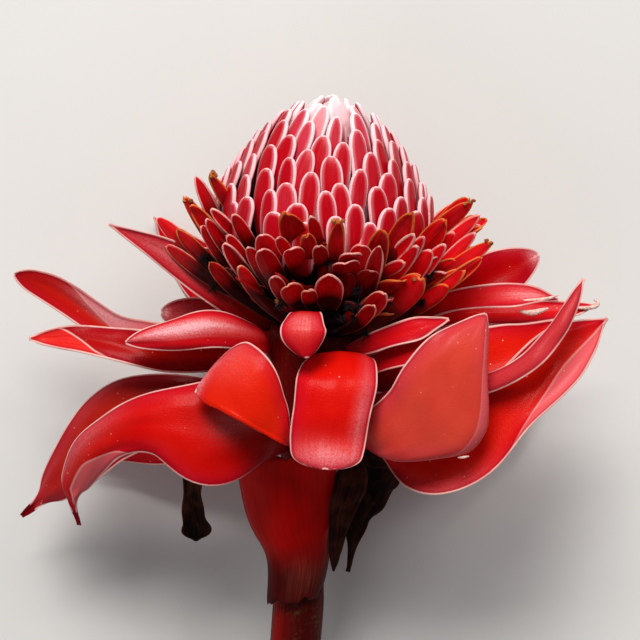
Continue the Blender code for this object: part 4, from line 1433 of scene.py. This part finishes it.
@dataclass(frozen=True)
class Strap:
    """One spent floral bract: where its tip is, how wide it is and how it is bent, turned and dried.

    azimuth, bend and drift are in degrees. bend is how far each half curves up, drift how far its root
    is turned round the axis from its tip. facing is the share by which it faces straight up, roll
    turns its face sideways and hook lifts its tip. tone goes from wine red to bright red and dry from
    fresh to scorched.
    """

    azimuth: float
    reach: float
    height: float
    width: float
    bend: float
    tone: float
    dry: float
    drift: float = 0.0
    root_height: float = 6.0
    facing: float = 0.0
    roll: float = 0.0
    hook: float = 0.0

    def order(self) -> tuple[float, float, float]:
        """Where it comes in a row from the left to the right."""
        return self.azimuth, self.reach, self.height


@dataclass(frozen=True)
class Sight:
    """One spent bract of the upper side, as a row of UPPER_SIGHTS gives it, and where it is then.

    core_reach is how far from the axis its root is. The tip is as far out as tip_reach near the front,
    further in beside the dome and up to far_reach where it stands out at a side. A root costs
    drift_cost for each degree and root_cost for each millimetre by which it is unusual.
    """

    tip_x: float
    tip_y: float
    down_x: float
    down_y: float
    width: float
    tone: float
    dry: float
    core_reach: float = 14.0
    tip_reach: float = 46.0
    far_reach: float = 60.0
    dome_from: float = 30.0
    dome_slope: float = 0.12
    turns: range = range(-100, 101)
    heights: range = range(8, 62)
    finer: tuple[float, ...] = (0.3, 0.1)
    drifts: range = range(-30, 31, 2)
    roots: range = range(3, 24)
    usual_root: float = 9.0
    drift_cost: float = 0.25
    root_cost: float = 0.2

    @cached_property
    def tip(self) -> tuple[float, float]:
        """Place of its tip in the view, in pixels."""
        return VIEW_CORNER[0] + self.tip_x / 4.0, VIEW_CORNER[1] + self.tip_y / 4.0

    @cached_property
    def reach(self) -> float:
        """Distance of its tip from the axis."""
        right, up = (self.tip[0] - VIEW_MIDDLE[0]) * PIXEL, (VIEW_MIDDLE[1] - self.tip[1]) * PIXEL
        aside = abs(right + 2.5 - 0.0758 * up)
        beside_dome = self.tip_reach - self.dome_slope * max(up - self.dome_from, 0.0)
        return min(max(beside_dome, aside * 1.02 + 1.0), self.far_reach)

    def miss(self, spot: tuple[float, float]) -> float:
        """How many pixels from its tip a point at this azimuth and height, and at its reach, is seen."""
        x, y = seen(around(spot[0], self.reach, spot[1]))
        return math.hypot(x - self.tip[0], y - self.tip[1])

    def top(self) -> tuple[float, float]:
        """Place of its tip on the flower.

        Returns:
            The azimuth and the height at which the tip is seen where it should be.
        """
        spots = ((math.radians(turn), height) for turn in self.turns for height in self.heights)
        best = min(spots, key=self.miss)
        for step in self.finer:
            shifts = [shift * step for shift in range(-3, 4)]
            near = [(best[0] + math.radians(a), best[1] + b) for a in shifts for b in shifts]
            best = min(near, key=self.miss)
        return best

    def root(self, azimuth: float, height: float) -> tuple[int, int]:
        """Place of its root, for this place of its tip.

        Args:
            azimuth: The tip's azimuth.
            height: The tip's height.

        Returns:
            The drift in degrees and the height with which the strap is seen to run as it should.
        """
        wanted = math.atan2(self.down_y - self.tip_y, self.down_x - self.tip_x)
        end = around(azimuth, self.reach, height)

        def cost(spot: tuple[int, int]) -> float:
            """Degrees by which the strap's direction is off, and a little for an unusual root."""
            start = around(azimuth + math.radians(spot[0]), self.core_reach, spot[1])
            x, y = seen((start + end) / 2.0)
            off = abs((math.atan2(y - self.tip[1], x - self.tip[0]) - wanted + math.pi) % math.tau - math.pi)
            unusual = abs(spot[1] - self.usual_root) * self.root_cost
            return math.degrees(off) + abs(spot[0]) * self.drift_cost + unusual

        return min(((drift, root) for drift in self.drifts for root in self.roots), key=cost)

    def strap(self) -> Strap:
        """The strap that is seen so, still flat, in whole degrees and millimetres."""
        azimuth, height = self.top()
        drift, root = self.root(azimuth, height)
        width = round(self.width / 4.0 * PIXEL, 1)
        where = round(math.degrees(azimuth)), round(self.reach), round(height)
        return Strap(*where, width, 0.0, self.tone, self.dry, drift, root)


@dataclass
class SpentBracts:
    """Ring of spent floral bracts: hollow straps that spread from under the dome.

    The spiral's count straps have their tips at the distance reach, and up to belly more in the
    ring's middle rows, between the heights ceiling and floor. The floor rises by floor_rise at the
    sides and by notch_rise over the small front bract. Between the azimuths sunk_from and sunk_to
    they stand back by sunk_by and are darker, behind the straps of upper, which bend by one of dry_bends or
    fresh_bends. blade is a strap's thickness and mesh its columns and rows. thin_rim
    widens the pale rim of the fresh straps at the right and holds back their painted shade, and a strap
    is darker nearer to the axis than recess_at, painted shade of the recesses over old tissue that is
    darker there too. Tufts stand at tuft_reach from the axis, over tuft_rise from the height tuft_foot.
    front_tufts are places measured as the blades' paths are.
    """

    core_radius: float = 18.0
    core_top: float = 15.5
    core_sides: int = 32
    count: int = 92
    first_index: int = 128
    ceiling: float = 48.0
    floor: float = 13.0
    floor_rise: float = 12.0
    notch_at: float = math.radians(-8.0)
    notch_half: float = math.radians(14.0)
    notch_rise: float = 13.0
    sunk_from: float = -104.0
    sunk_to: float = 68.0
    sunk_by: float = 12.0
    reach: float = 45.0
    belly: float = 9.0
    width: float = 9.6
    blade: float = 0.8
    thin_rim: float = 0.62
    recess_at: float = 38.0
    recess_over: float = 12.0
    mesh: tuple[int, int] = (6, 8)
    tufts: int = 70
    tuft_reach: tuple[float, float] = (30.0, 38.0)
    tuft_foot: float = 11.0
    tuft_rise: float = 20.0
    tuft_size: tuple[float, float] = (1.8, 3.2)
    front_tuft_size: float = 3.0
    filaments: int = 26
    scrap_size: tuple[float, float] = (0.45, 0.8)
    scrap_spread: Point = (1.6, 0.9, 0.8)
    front_tufts: tuple[Point, ...] = (
        (1.6, 22.0, 42.0), (-4.2, 15.0, 33.4), (21.0, 9.4, 38.6), (32.4, 9.0, 21.8), (13.6, -1.2, 25.0),
        (3.3, 5.0, 23.0), (11.0, 12.6, 39.5), (34.9, 18.0, 27.0), (10.3, 4.0, 34.4), (-39.6, 24.0, 2.4),
    )
    seed: int = 7
    upper_seed: int = 5
    dry_bends: tuple[float, ...] = (12.0, 18.0)
    fresh_bends: tuple[float, ...] = (30.0, 36.0, 42.0, -34.0)
    lower: tuple[Strap, ...] = (
        Strap(150.0, 42.0, 48.0, 11.0, 22.0, 0.3, 0.9, root_height=12.0, roll=0.8),
        Strap(-140.0, 43.0, 47.0, 11.0, 22.0, 0.3, 0.9, root_height=12.0, roll=-0.8),
        Strap(84.0, 46.0, 50.0, 10.0, 22.0, 0.3, 0.8, root_height=14.0, roll=1.2),
    )

    def floor_at(self, azimuth: float) -> float:
        """Height of the lowest tips: higher at the sides and over the small front bract."""
        off = azimuth - self.notch_at
        turn = math.atan2(math.sin(off), math.cos(off)) / self.notch_half
        sides = self.floor_rise * math.sin(azimuth) ** 2
        return self.floor + sides + self.notch_rise * math.exp(-turn * turn)

    def outline(self, along: float) -> float:
        """Half width of a strap as a share of its greatest: it widens, then ends in a round tip."""
        rest = max((along - 0.8) / 0.2, 0.0)
        return max(math.sqrt(max(1.0 - rest * rest, 0.0)), 0.06) * (0.45 + 0.55 * smooth(along / 0.75))

    @cached_property
    def upper(self) -> tuple[Strap, ...]:
        """The straps of the upper side.

        Returns:
            Them, from the left to the right, each bent and turned by chance.
        """
        chance = random.Random(self.upper_seed)
        straps = []
        for strap in sorted((Sight(*row).strap() for row in UPPER_SIGHTS), key=Strap.order):
            bend = chance.choice(self.dry_bends if strap.dry >= 0.8 else self.fresh_bends)
            flatter = math.sin(math.radians(bend)) / math.radians(bend)
            width = round(strap.width * 0.95 / flatter * (1.12 if abs(strap.azimuth) < 50 else 1.2), 1)
            tone, facing = round(min(strap.tone + 0.15, 1.0), 2), round(chance.uniform(0.75, 0.95), 2)
            straps.append(replace(strap, width=width, bend=bend, tone=tone, facing=facing))
        return tuple(straps)

    def spiral(self) -> list[Strap]:
        """The straps of the spiral.

        Returns:
            Them, from the top of the ring to its foot.
        """
        chance = random.Random(self.seed)
        straps = []
        for index in range(self.count):
            share = (index + 0.5) / self.count
            azimuth = (index + self.first_index) * GOLDEN_ANGLE + chance.uniform(-0.09, 0.09)
            turn = (math.degrees(azimuth) + 180.0) % 360.0 - 180.0
            out = self.reach + self.belly * math.sin(math.pi * share**0.8) - 2.0 * share
            reach = out + chance.uniform(-6.0, 2.0)
            drop = (self.floor_at(azimuth) - self.ceiling) * share**0.9
            height = self.ceiling + drop + chance.uniform(-2.5, 1.5)
            width = self.width * chance.uniform(0.66, 1.08)
            bend, roll = chance.uniform(34.0, 82.0), chance.uniform(-0.8, 0.8)
            tone, dry = chance.random(), max(chance.uniform(-1.7, 1.0), 0.0)
            hook, drift = chance.uniform(-4.2, 2.0), chance.uniform(-12.0, 12.0)
            root = chance.uniform(5.0, 12.0)
            if self.sunk_from < turn < self.sunk_to:
                reach, height, tone = reach - self.sunk_by, height - self.sunk_by / 3, tone * 0.2
            straps.append(Strap(turn, reach, height, width, bend, tone, dry, drift, root, 0.0, roll, hook))
        return straps

    def strap(self, strap: Strap, index: int, tissue: Tissue) -> None:
        """Adds one hollow strap, as a sheet.

        Args:
            strap: Its sizes.
            index: Its number, for its own unevenness.
            tissue: The mesh of all of them.
        """
        azimuth, bend = math.radians(strap.azimuth), math.radians(strap.bend)
        away = outward(azimuth)
        root = around(azimuth + math.radians(strap.drift), self.core_radius - 4.0, strap.root_height)
        tip = around(azimuth, strap.reach, strap.height)
        path = [root, (root + tip) / 2 - AXIS * 1.5 + away * 1.5, tip]
        length = (tip - root).length
        # Painted shade: straps to the left, where lit is low, get a lower tone, and sooner brings their
        # painted shade nearer to the tip. Straps on the right get a higher tone, and rimmed widens the pale
        # rim of their fresh ones and holds back their painted shade.
        lit, warmer = smooth((strap.azimuth + 60.0) / 40.0), smooth((strap.azimuth - 25.0) / 20.0)
        tone = strap.tone * (0.7 + 0.3 * lit) + 0.25 * warmer
        rimmed = self.thin_rim if strap.azimuth > 30.0 and strap.dry < 0.3 else 1.0
        sooner = 1.0 + 0.5 * smooth((-20.0 - strap.azimuth) / 25.0)
        columns, rows = self.mesh
        made = bmesh.ops.create_grid(tissue.shape, x_segments=columns, y_segments=rows, size=1.0)
        for vert in made["verts"]:
            across = math.sin(vert.co.x * math.pi / 2)
            along = 1.0 - ((1.0 - vert.co.y) / 2.0) ** 2.1
            half = self.outline(along) * strap.width / 2
            ahead = heading(path, along, 0.05)
            wide = AXIS.cross(away) + AXIS * (strap.roll * smooth(along * 1.4))
            wide = wide.lerp(ahead.cross(Vector((0.0, 0.0, 1.0))).normalized(), strap.facing)
            wide = (wide - ahead * wide.dot(ahead)).normalized()
            inner = ahead.cross(wide)
            turn = bend * across
            place = wide * (math.sin(turn) / bend * half) + inner * ((1.0 - math.cos(turn)) / bend * half)
            frayed = strap.dry * smooth(along * 2 - 0.9)
            crumple = rough(Vector((across * 3.0, along * 9.0, index)), 1.5) * (0.35 + frayed * 1.5)
            torn = rough(Vector((across * 4.0, along * 4.0, index + 50.0)), 0.9) * (0.5 + frayed * 2.4)
            lift = strap.hook * smooth((along - 0.55) / 0.45) + crumple
            vert.co = spline(path, along) + place + inner * lift + ahead * torn * abs(across * along)
            spot = vert.co - HEAD_AT
            out = (spot - AXIS * spot.dot(AXIS)).length
            # Darker nearer to the axis than recess_at: painted shade of the ring's recesses, over old tissue
            # that is darker there too.
            recess = 1.0 + smooth((self.recess_at - out) / self.recess_over)
            tissue.mark(vert, aside=across, half=half * rimmed, along=along, tone=tone, dry=strap.dry)
            tissue.mark(vert, ahead=(1.0 - along) * length * rimmed * sooner * recess)
            vert[tissue.grain] = Vector((across * strap.width / 2, along * length, index * 2.3))

    def build(self) -> None:
        """Makes the core and every strap, and dresses them."""
        flesh = SpentFlesh().material()
        names = ("aside", "half", "ahead", "along", "tone", "dry")
        tissue, core = Tissue(*names), Tissue(*names)
        for index, strap in enumerate(self.spiral() + list(self.upper + self.lower)):
            self.strap(strap, index, tissue)
        ring = tissue.finished("spent_floral_ring", flesh)
        wall = ring.modifiers.new("wall", "SOLIDIFY")
        wall.thickness, wall.offset = self.blade * MM, 0.0
        soften(ring, 1)
        settle(ring, "floral_dark", "spent_floral_bracts")
        side = [(16.5, 2.6), (self.core_radius, 7.0), (self.core_radius, self.core_top)]
        for vert in core.turned([(0.5, 2.6), *side, (0.5, self.core_top)], self.core_sides):
            # The collar is wholly in painted shade, near black.
            core.mark(vert, half=9.0, ahead=40.0)
        core.face_outwards()
        settle(core.finished("spent_floral_collar", flesh), "floral_dark", "spent_floral_bracts")
        self.litter()

    def clump(self, tissue: Tissue, centre: Vector, size: float, seed: float) -> None:
        """Adds one crumpled scrap of dry tissue.

        Args:
            tissue: The mesh of all of them.
            centre: Its middle.
            size: Its radius.
            seed: Where its crumples come from.
        """
        made = bmesh.ops.create_icosphere(tissue.shape, subdivisions=2, radius=1.0)
        for vert in made["verts"]:
            away = vert.co.normalized()
            spike = 1.0 + 0.75 * rough(away * 1.3, 0.55, seed) + 0.35 * rough(away * 2.0, 0.3, seed)
            vert.co = centre + away * (size * max(spike, 0.25))

    def tuft(self, tissue: Tissue, centre: Vector, size: float, chance: random.Random) -> None:
        """Adds one tuft of short dead filaments.

        Args:
            tissue: The mesh of all of them.
            centre: Where they meet.
            size: Length of the longest.
            chance: Where their directions come from.
        """
        for _ in range(self.filaments):
            aim = Vector([chance.uniform(-1.0, 1.0) for _ in range(3)]).normalized()
            length = size * chance.uniform(0.5, 1.0)
            turn = aim.to_track_quat("Z", "Y").to_matrix().to_4x4()
            place = Matrix.Translation(centre + aim * (length * 0.45)) @ turn
            thick = chance.uniform(0.12, 0.26)
            ends = dict(segments=4, radius1=thick, radius2=0.08, depth=length, matrix=place)
            bmesh.ops.create_cone(tissue.shape, cap_ends=True, **ends)

    def litter(self) -> None:
        """Makes dark tufts between the straps, and ochre scraps at the tips of some."""
        chance = random.Random(self.seed + 1)
        tufts, scraps = Tissue(), Tissue()
        for index in range(self.tufts):
            azimuth = index * GOLDEN_ANGLE + 0.4
            reach = chance.uniform(*self.tuft_reach)
            spot = around(azimuth, reach, self.tuft_foot + self.tuft_rise * chance.random())
            self.tuft(tufts, spot, chance.uniform(*self.tuft_size), chance)
        for place in self.front_tufts + self.front_tufts:
            self.tuft(tufts, PATHS_AT + Vector(place), self.front_tuft_size, chance)
        chosen = [strap for strap in self.upper if strap.dry > 0.45][::3] + self.spiral()[4::24]
        for index, strap in enumerate(chosen):
            spot = around(math.radians(strap.azimuth), strap.reach - 0.6, strap.height - 0.4)
            for part in range(3):
                offset = Vector([chance.uniform(-most, most) for most in self.scrap_spread])
                self.clump(scraps, spot + offset, chance.uniform(*self.scrap_size), index * 5.3 + part)
        dark = DryScrap("dark_tuft", (0.02, 0.01, 0.017), (0.003, 0.001, 0.002))
        ochre = DryScrap("ochre_scrap", (0.62, 0.3, 0.06), (0.3, 0.06, 0.015))
        for name, tissue, finish in (("dark_tufts", tufts, dark), ("ochre_scraps", scraps, ochre)):
            tissue.face_outwards()
            settle(tissue.finished(name, finish.material()), "withered_brown", "spent_floral_bracts")


@dataclass
class PaleTips:
    """Thin white rolls of dried margin: at the ends of the right side's long bracts and at one foot.

    rolls holds each one's radius and its path, measured as the blades' paths are. sides and steps
    are those of each tube.
    """

    sides: int = 8
    steps: int = 16
    rolls: tuple[tuple[float, tuple[Point, ...]], ...] = (
        (0.6, ((60.0, 9.6, 11.4), (68.0, 9.8, 11.8), (74.0, 10.4, 11.0), (78.0, 11.6, 10.0))),
        (1.0, ((65.0, 6.2, 11.0), (69.5, 5.8, 11.6), (74.6, 7.2, 11.0))),
        (0.45, ((43.4, -41.0, 38.6), (45.4, -40.8, 38.9), (47.0, -40.5, 38.4))),
        (
            0.72,
            ((84.0, 7.6, -4.4), (88.0, 7.4, -4.0), (91.4, 7.8, -3.6), (92.6, 9.2, -4.2), (91.2, 10.2, -5.0)),
        ),
    )
    light: Colour = (0.9, 0.78, 0.7)
    dark: Colour = (0.8, 0.5, 0.42)

    def build(self) -> None:
        """Makes each roll as a tapering tube and dresses them all."""
        tissue = Tissue()
        shape = tissue.shape
        for radius, points in self.rolls:
            path = [PATHS_AT + Vector(point) for point in points]
            rings = []
            for step in range(self.steps + 1):
                share = step / self.steps
                turn = heading(path, share, 0.03).to_track_quat("Z", "Y").to_matrix().to_4x4()
                place = Matrix.Translation(spline(path, share)) @ turn
                thick = radius * (math.sin(math.pi * min(max(share, 0.06), 0.94)) ** 0.5)
                made = bmesh.ops.create_circle(shape, segments=self.sides, radius=thick, matrix=place)
                ring = made["verts"]
                rings.append(list({edge: None for vert in ring for edge in vert.link_edges}))
            for before, after in zip(rings, rings[1:]):
                bmesh.ops.bridge_loops(shape, edges=before + after)
        open_edges = [edge for edge in shape.edges if edge.is_boundary]
        bmesh.ops.holes_fill(shape, edges=open_edges, sides=self.sides)
        tissue.face_outwards()
        margin = DryScrap("pale_margin", self.light, self.dark)
        settle(tissue.finished("pale_rolled_margins", margin.material()), "floral_pink")


@dataclass
class Stem:
    """Cut stem and the receptacle that it swells into.

    rim is the cut end's profile, as radii and heights above it. strip_at and strip_half are the
    azimuth and the half width of its redder strip.
    """

    sides: int = 64
    step: float = 4.0
    rim: tuple[tuple[float, float], ...] = ((0.4, 1.2), (5.6, 0.9), (7.4, 0.1))
    strip_at: float = -0.95
    strip_half: float = 0.55

    def build(self) -> None:
        """Makes the stem and dresses it."""
        tissue = Tissue("left", "cut")
        whole = STEM_LENGTH + RECEPTACLE_TOP
        count = round(whole / self.step)
        heights = [-STEM_LENGTH + whole * index / count for index in range(count + 1)]
        profile = [(radius, -STEM_LENGTH + above) for radius, above in self.rim]
        profile += [(receptacle_radius(height), height) for height in heights] + [(0.5, RECEPTACLE_TOP)]
        for vert in tissue.turned(profile, self.sides):
            spot = vert.co - HEAD_AT
            height = spot.dot(AXIS)
            out = spot - AXIS * height
            azimuth = math.atan2(out.dot(SIDE), out.dot(UPPER))
            vert[tissue.grain] = Vector((azimuth * STEM_RADIUS, height, 0.0))
            strip = math.exp(-(((azimuth - self.strip_at) / self.strip_half) ** 2))
            tissue.mark(vert, left=strip, cut=height < -STEM_LENGTH + 1.5 and out.length < 7.6)
            swell = rough(Vector((azimuth * 8.0, height * 0.12, 3.0)), 4.0) * 0.25
            under_sheath = 0.75 * smooth((height + 190.0) / 90.0) * smooth((-86.0 - height) / 12.0)
            vert.co += out.normalized() * (swell - 0.25 + under_sheath) if out.length > 8.0 else Vector()
        tissue.face_outwards()
        settle(tissue.finished("dressed_stem", StemSkin().material()), "stem", "stem")


# ---------------------------------------------------------------- surface, lights and camera


@dataclass
class Setting:
    """Pale surface, soft lights and the camera straight above the flower, in metres.

    frame_width is how much of the head's level the picture shows, and aim_up how many millimetres
    above the head centre it looks. Each lamp has a name, a place, a size, a power and a colour.
    """

    distance: float = CAMERA_ABOVE * MM
    frame_width: float = VIEW_WIDTH * PIXEL * MM
    aim_up: float = 3.35
    sensor: float = 36.0
    floor_size: float = 6.0
    floor_drop: float = 0.2
    lamps: tuple[tuple[str, Point, float, float, Colour], ...] = (
        ("key", (-0.25, 1.65, 2.1), 1.1, 54.0, (1.0, 0.98, 0.95)),
        ("side", (1.25, 1.5, 1.9), 0.75, 10.0, (1.0, 0.97, 0.95)),
        ("fill", (-1.2, -1.5, 2.2), 1.5, 6.0, (0.93, 0.96, 1.0)),
    )
    lamps_face: Point = (0.0, 0.03, 0.05)
    sky: Colour = (0.92, 0.95, 1.0)
    sky_power: float = 0.2

    def floor(self) -> None:
        """The plain pale surface."""
        tissue = Tissue()
        bmesh.ops.create_grid(tissue.shape, x_segments=1, y_segments=1, size=self.floor_size / 2 / MM)
        bmesh.ops.translate(tissue.shape, vec=(0.0, 0.0, -self.floor_drop), verts=tissue.shape.verts)
        tissue.finished("pale_surface", PaleCard().material())

    def light(self, name: str, place: Point, size: float, power: float, colour: Colour) -> None:
        """Adds a square soft light that faces the flower's head.

        Args:
            name: Its name.
            place: Its place.
            size: Length of its side.
            power: Its power in watts.
            colour: Its colour.
        """
        lamp = bpy.data.lights.new(name, "AREA")
        lamp.energy, lamp.size, lamp.color = power, size, colour
        holder = bpy.data.objects.new(name, lamp)
        holder.location = place
        aim = Vector(self.lamps_face) - holder.location
        holder.rotation_euler = aim.to_track_quat("-Z", "Y").to_euler()
        bpy.context.scene.collection.objects.link(holder)

    def camera(self) -> None:
        """The camera, looking straight down with +Y up in its picture."""
        lens = bpy.data.cameras.new("above")
        lens.sensor_width = self.sensor
        lens.lens = self.sensor * self.distance / self.frame_width
        lens.clip_end = 20.0
        above = bpy.data.objects.new("above", lens)
        above.location = (HEAD_AT.x * MM, (HEAD_AT.y + self.aim_up) * MM, HEAD_AT.z * MM + self.distance)
        bpy.context.scene.collection.objects.link(above)
        bpy.context.scene.camera = above

    def build(self) -> None:
        """Makes everything that the flower is looked at with."""
        self.floor()
        for lamp in self.lamps:
            self.light(*lamp)
        self.camera()
        world = bpy.data.worlds.new("soft room")
        world.use_nodes = True
        sky = world.node_tree.nodes["Background"]
        sky.inputs[0].default_value = (*self.sky, 1.0)
        sky.inputs[1].default_value = self.sky_power
        bpy.context.scene.world = world
        bpy.context.scene.view_settings.view_transform = "Standard"
        bpy.context.scene.view_settings.look = "Medium High Contrast"


def main() -> None:
    """Builds the surface and the lights, then the flower from its stem to its head."""
    logging.basicConfig(level=logging.INFO, format="%(name)s: %(message)s")
    Setting().build()
    Stem().build()
    Involucre().build()
    PaleTips().build()
    SpentBracts().build()
    ClosedBracts().build()


if __name__ == "__main__":
    main()
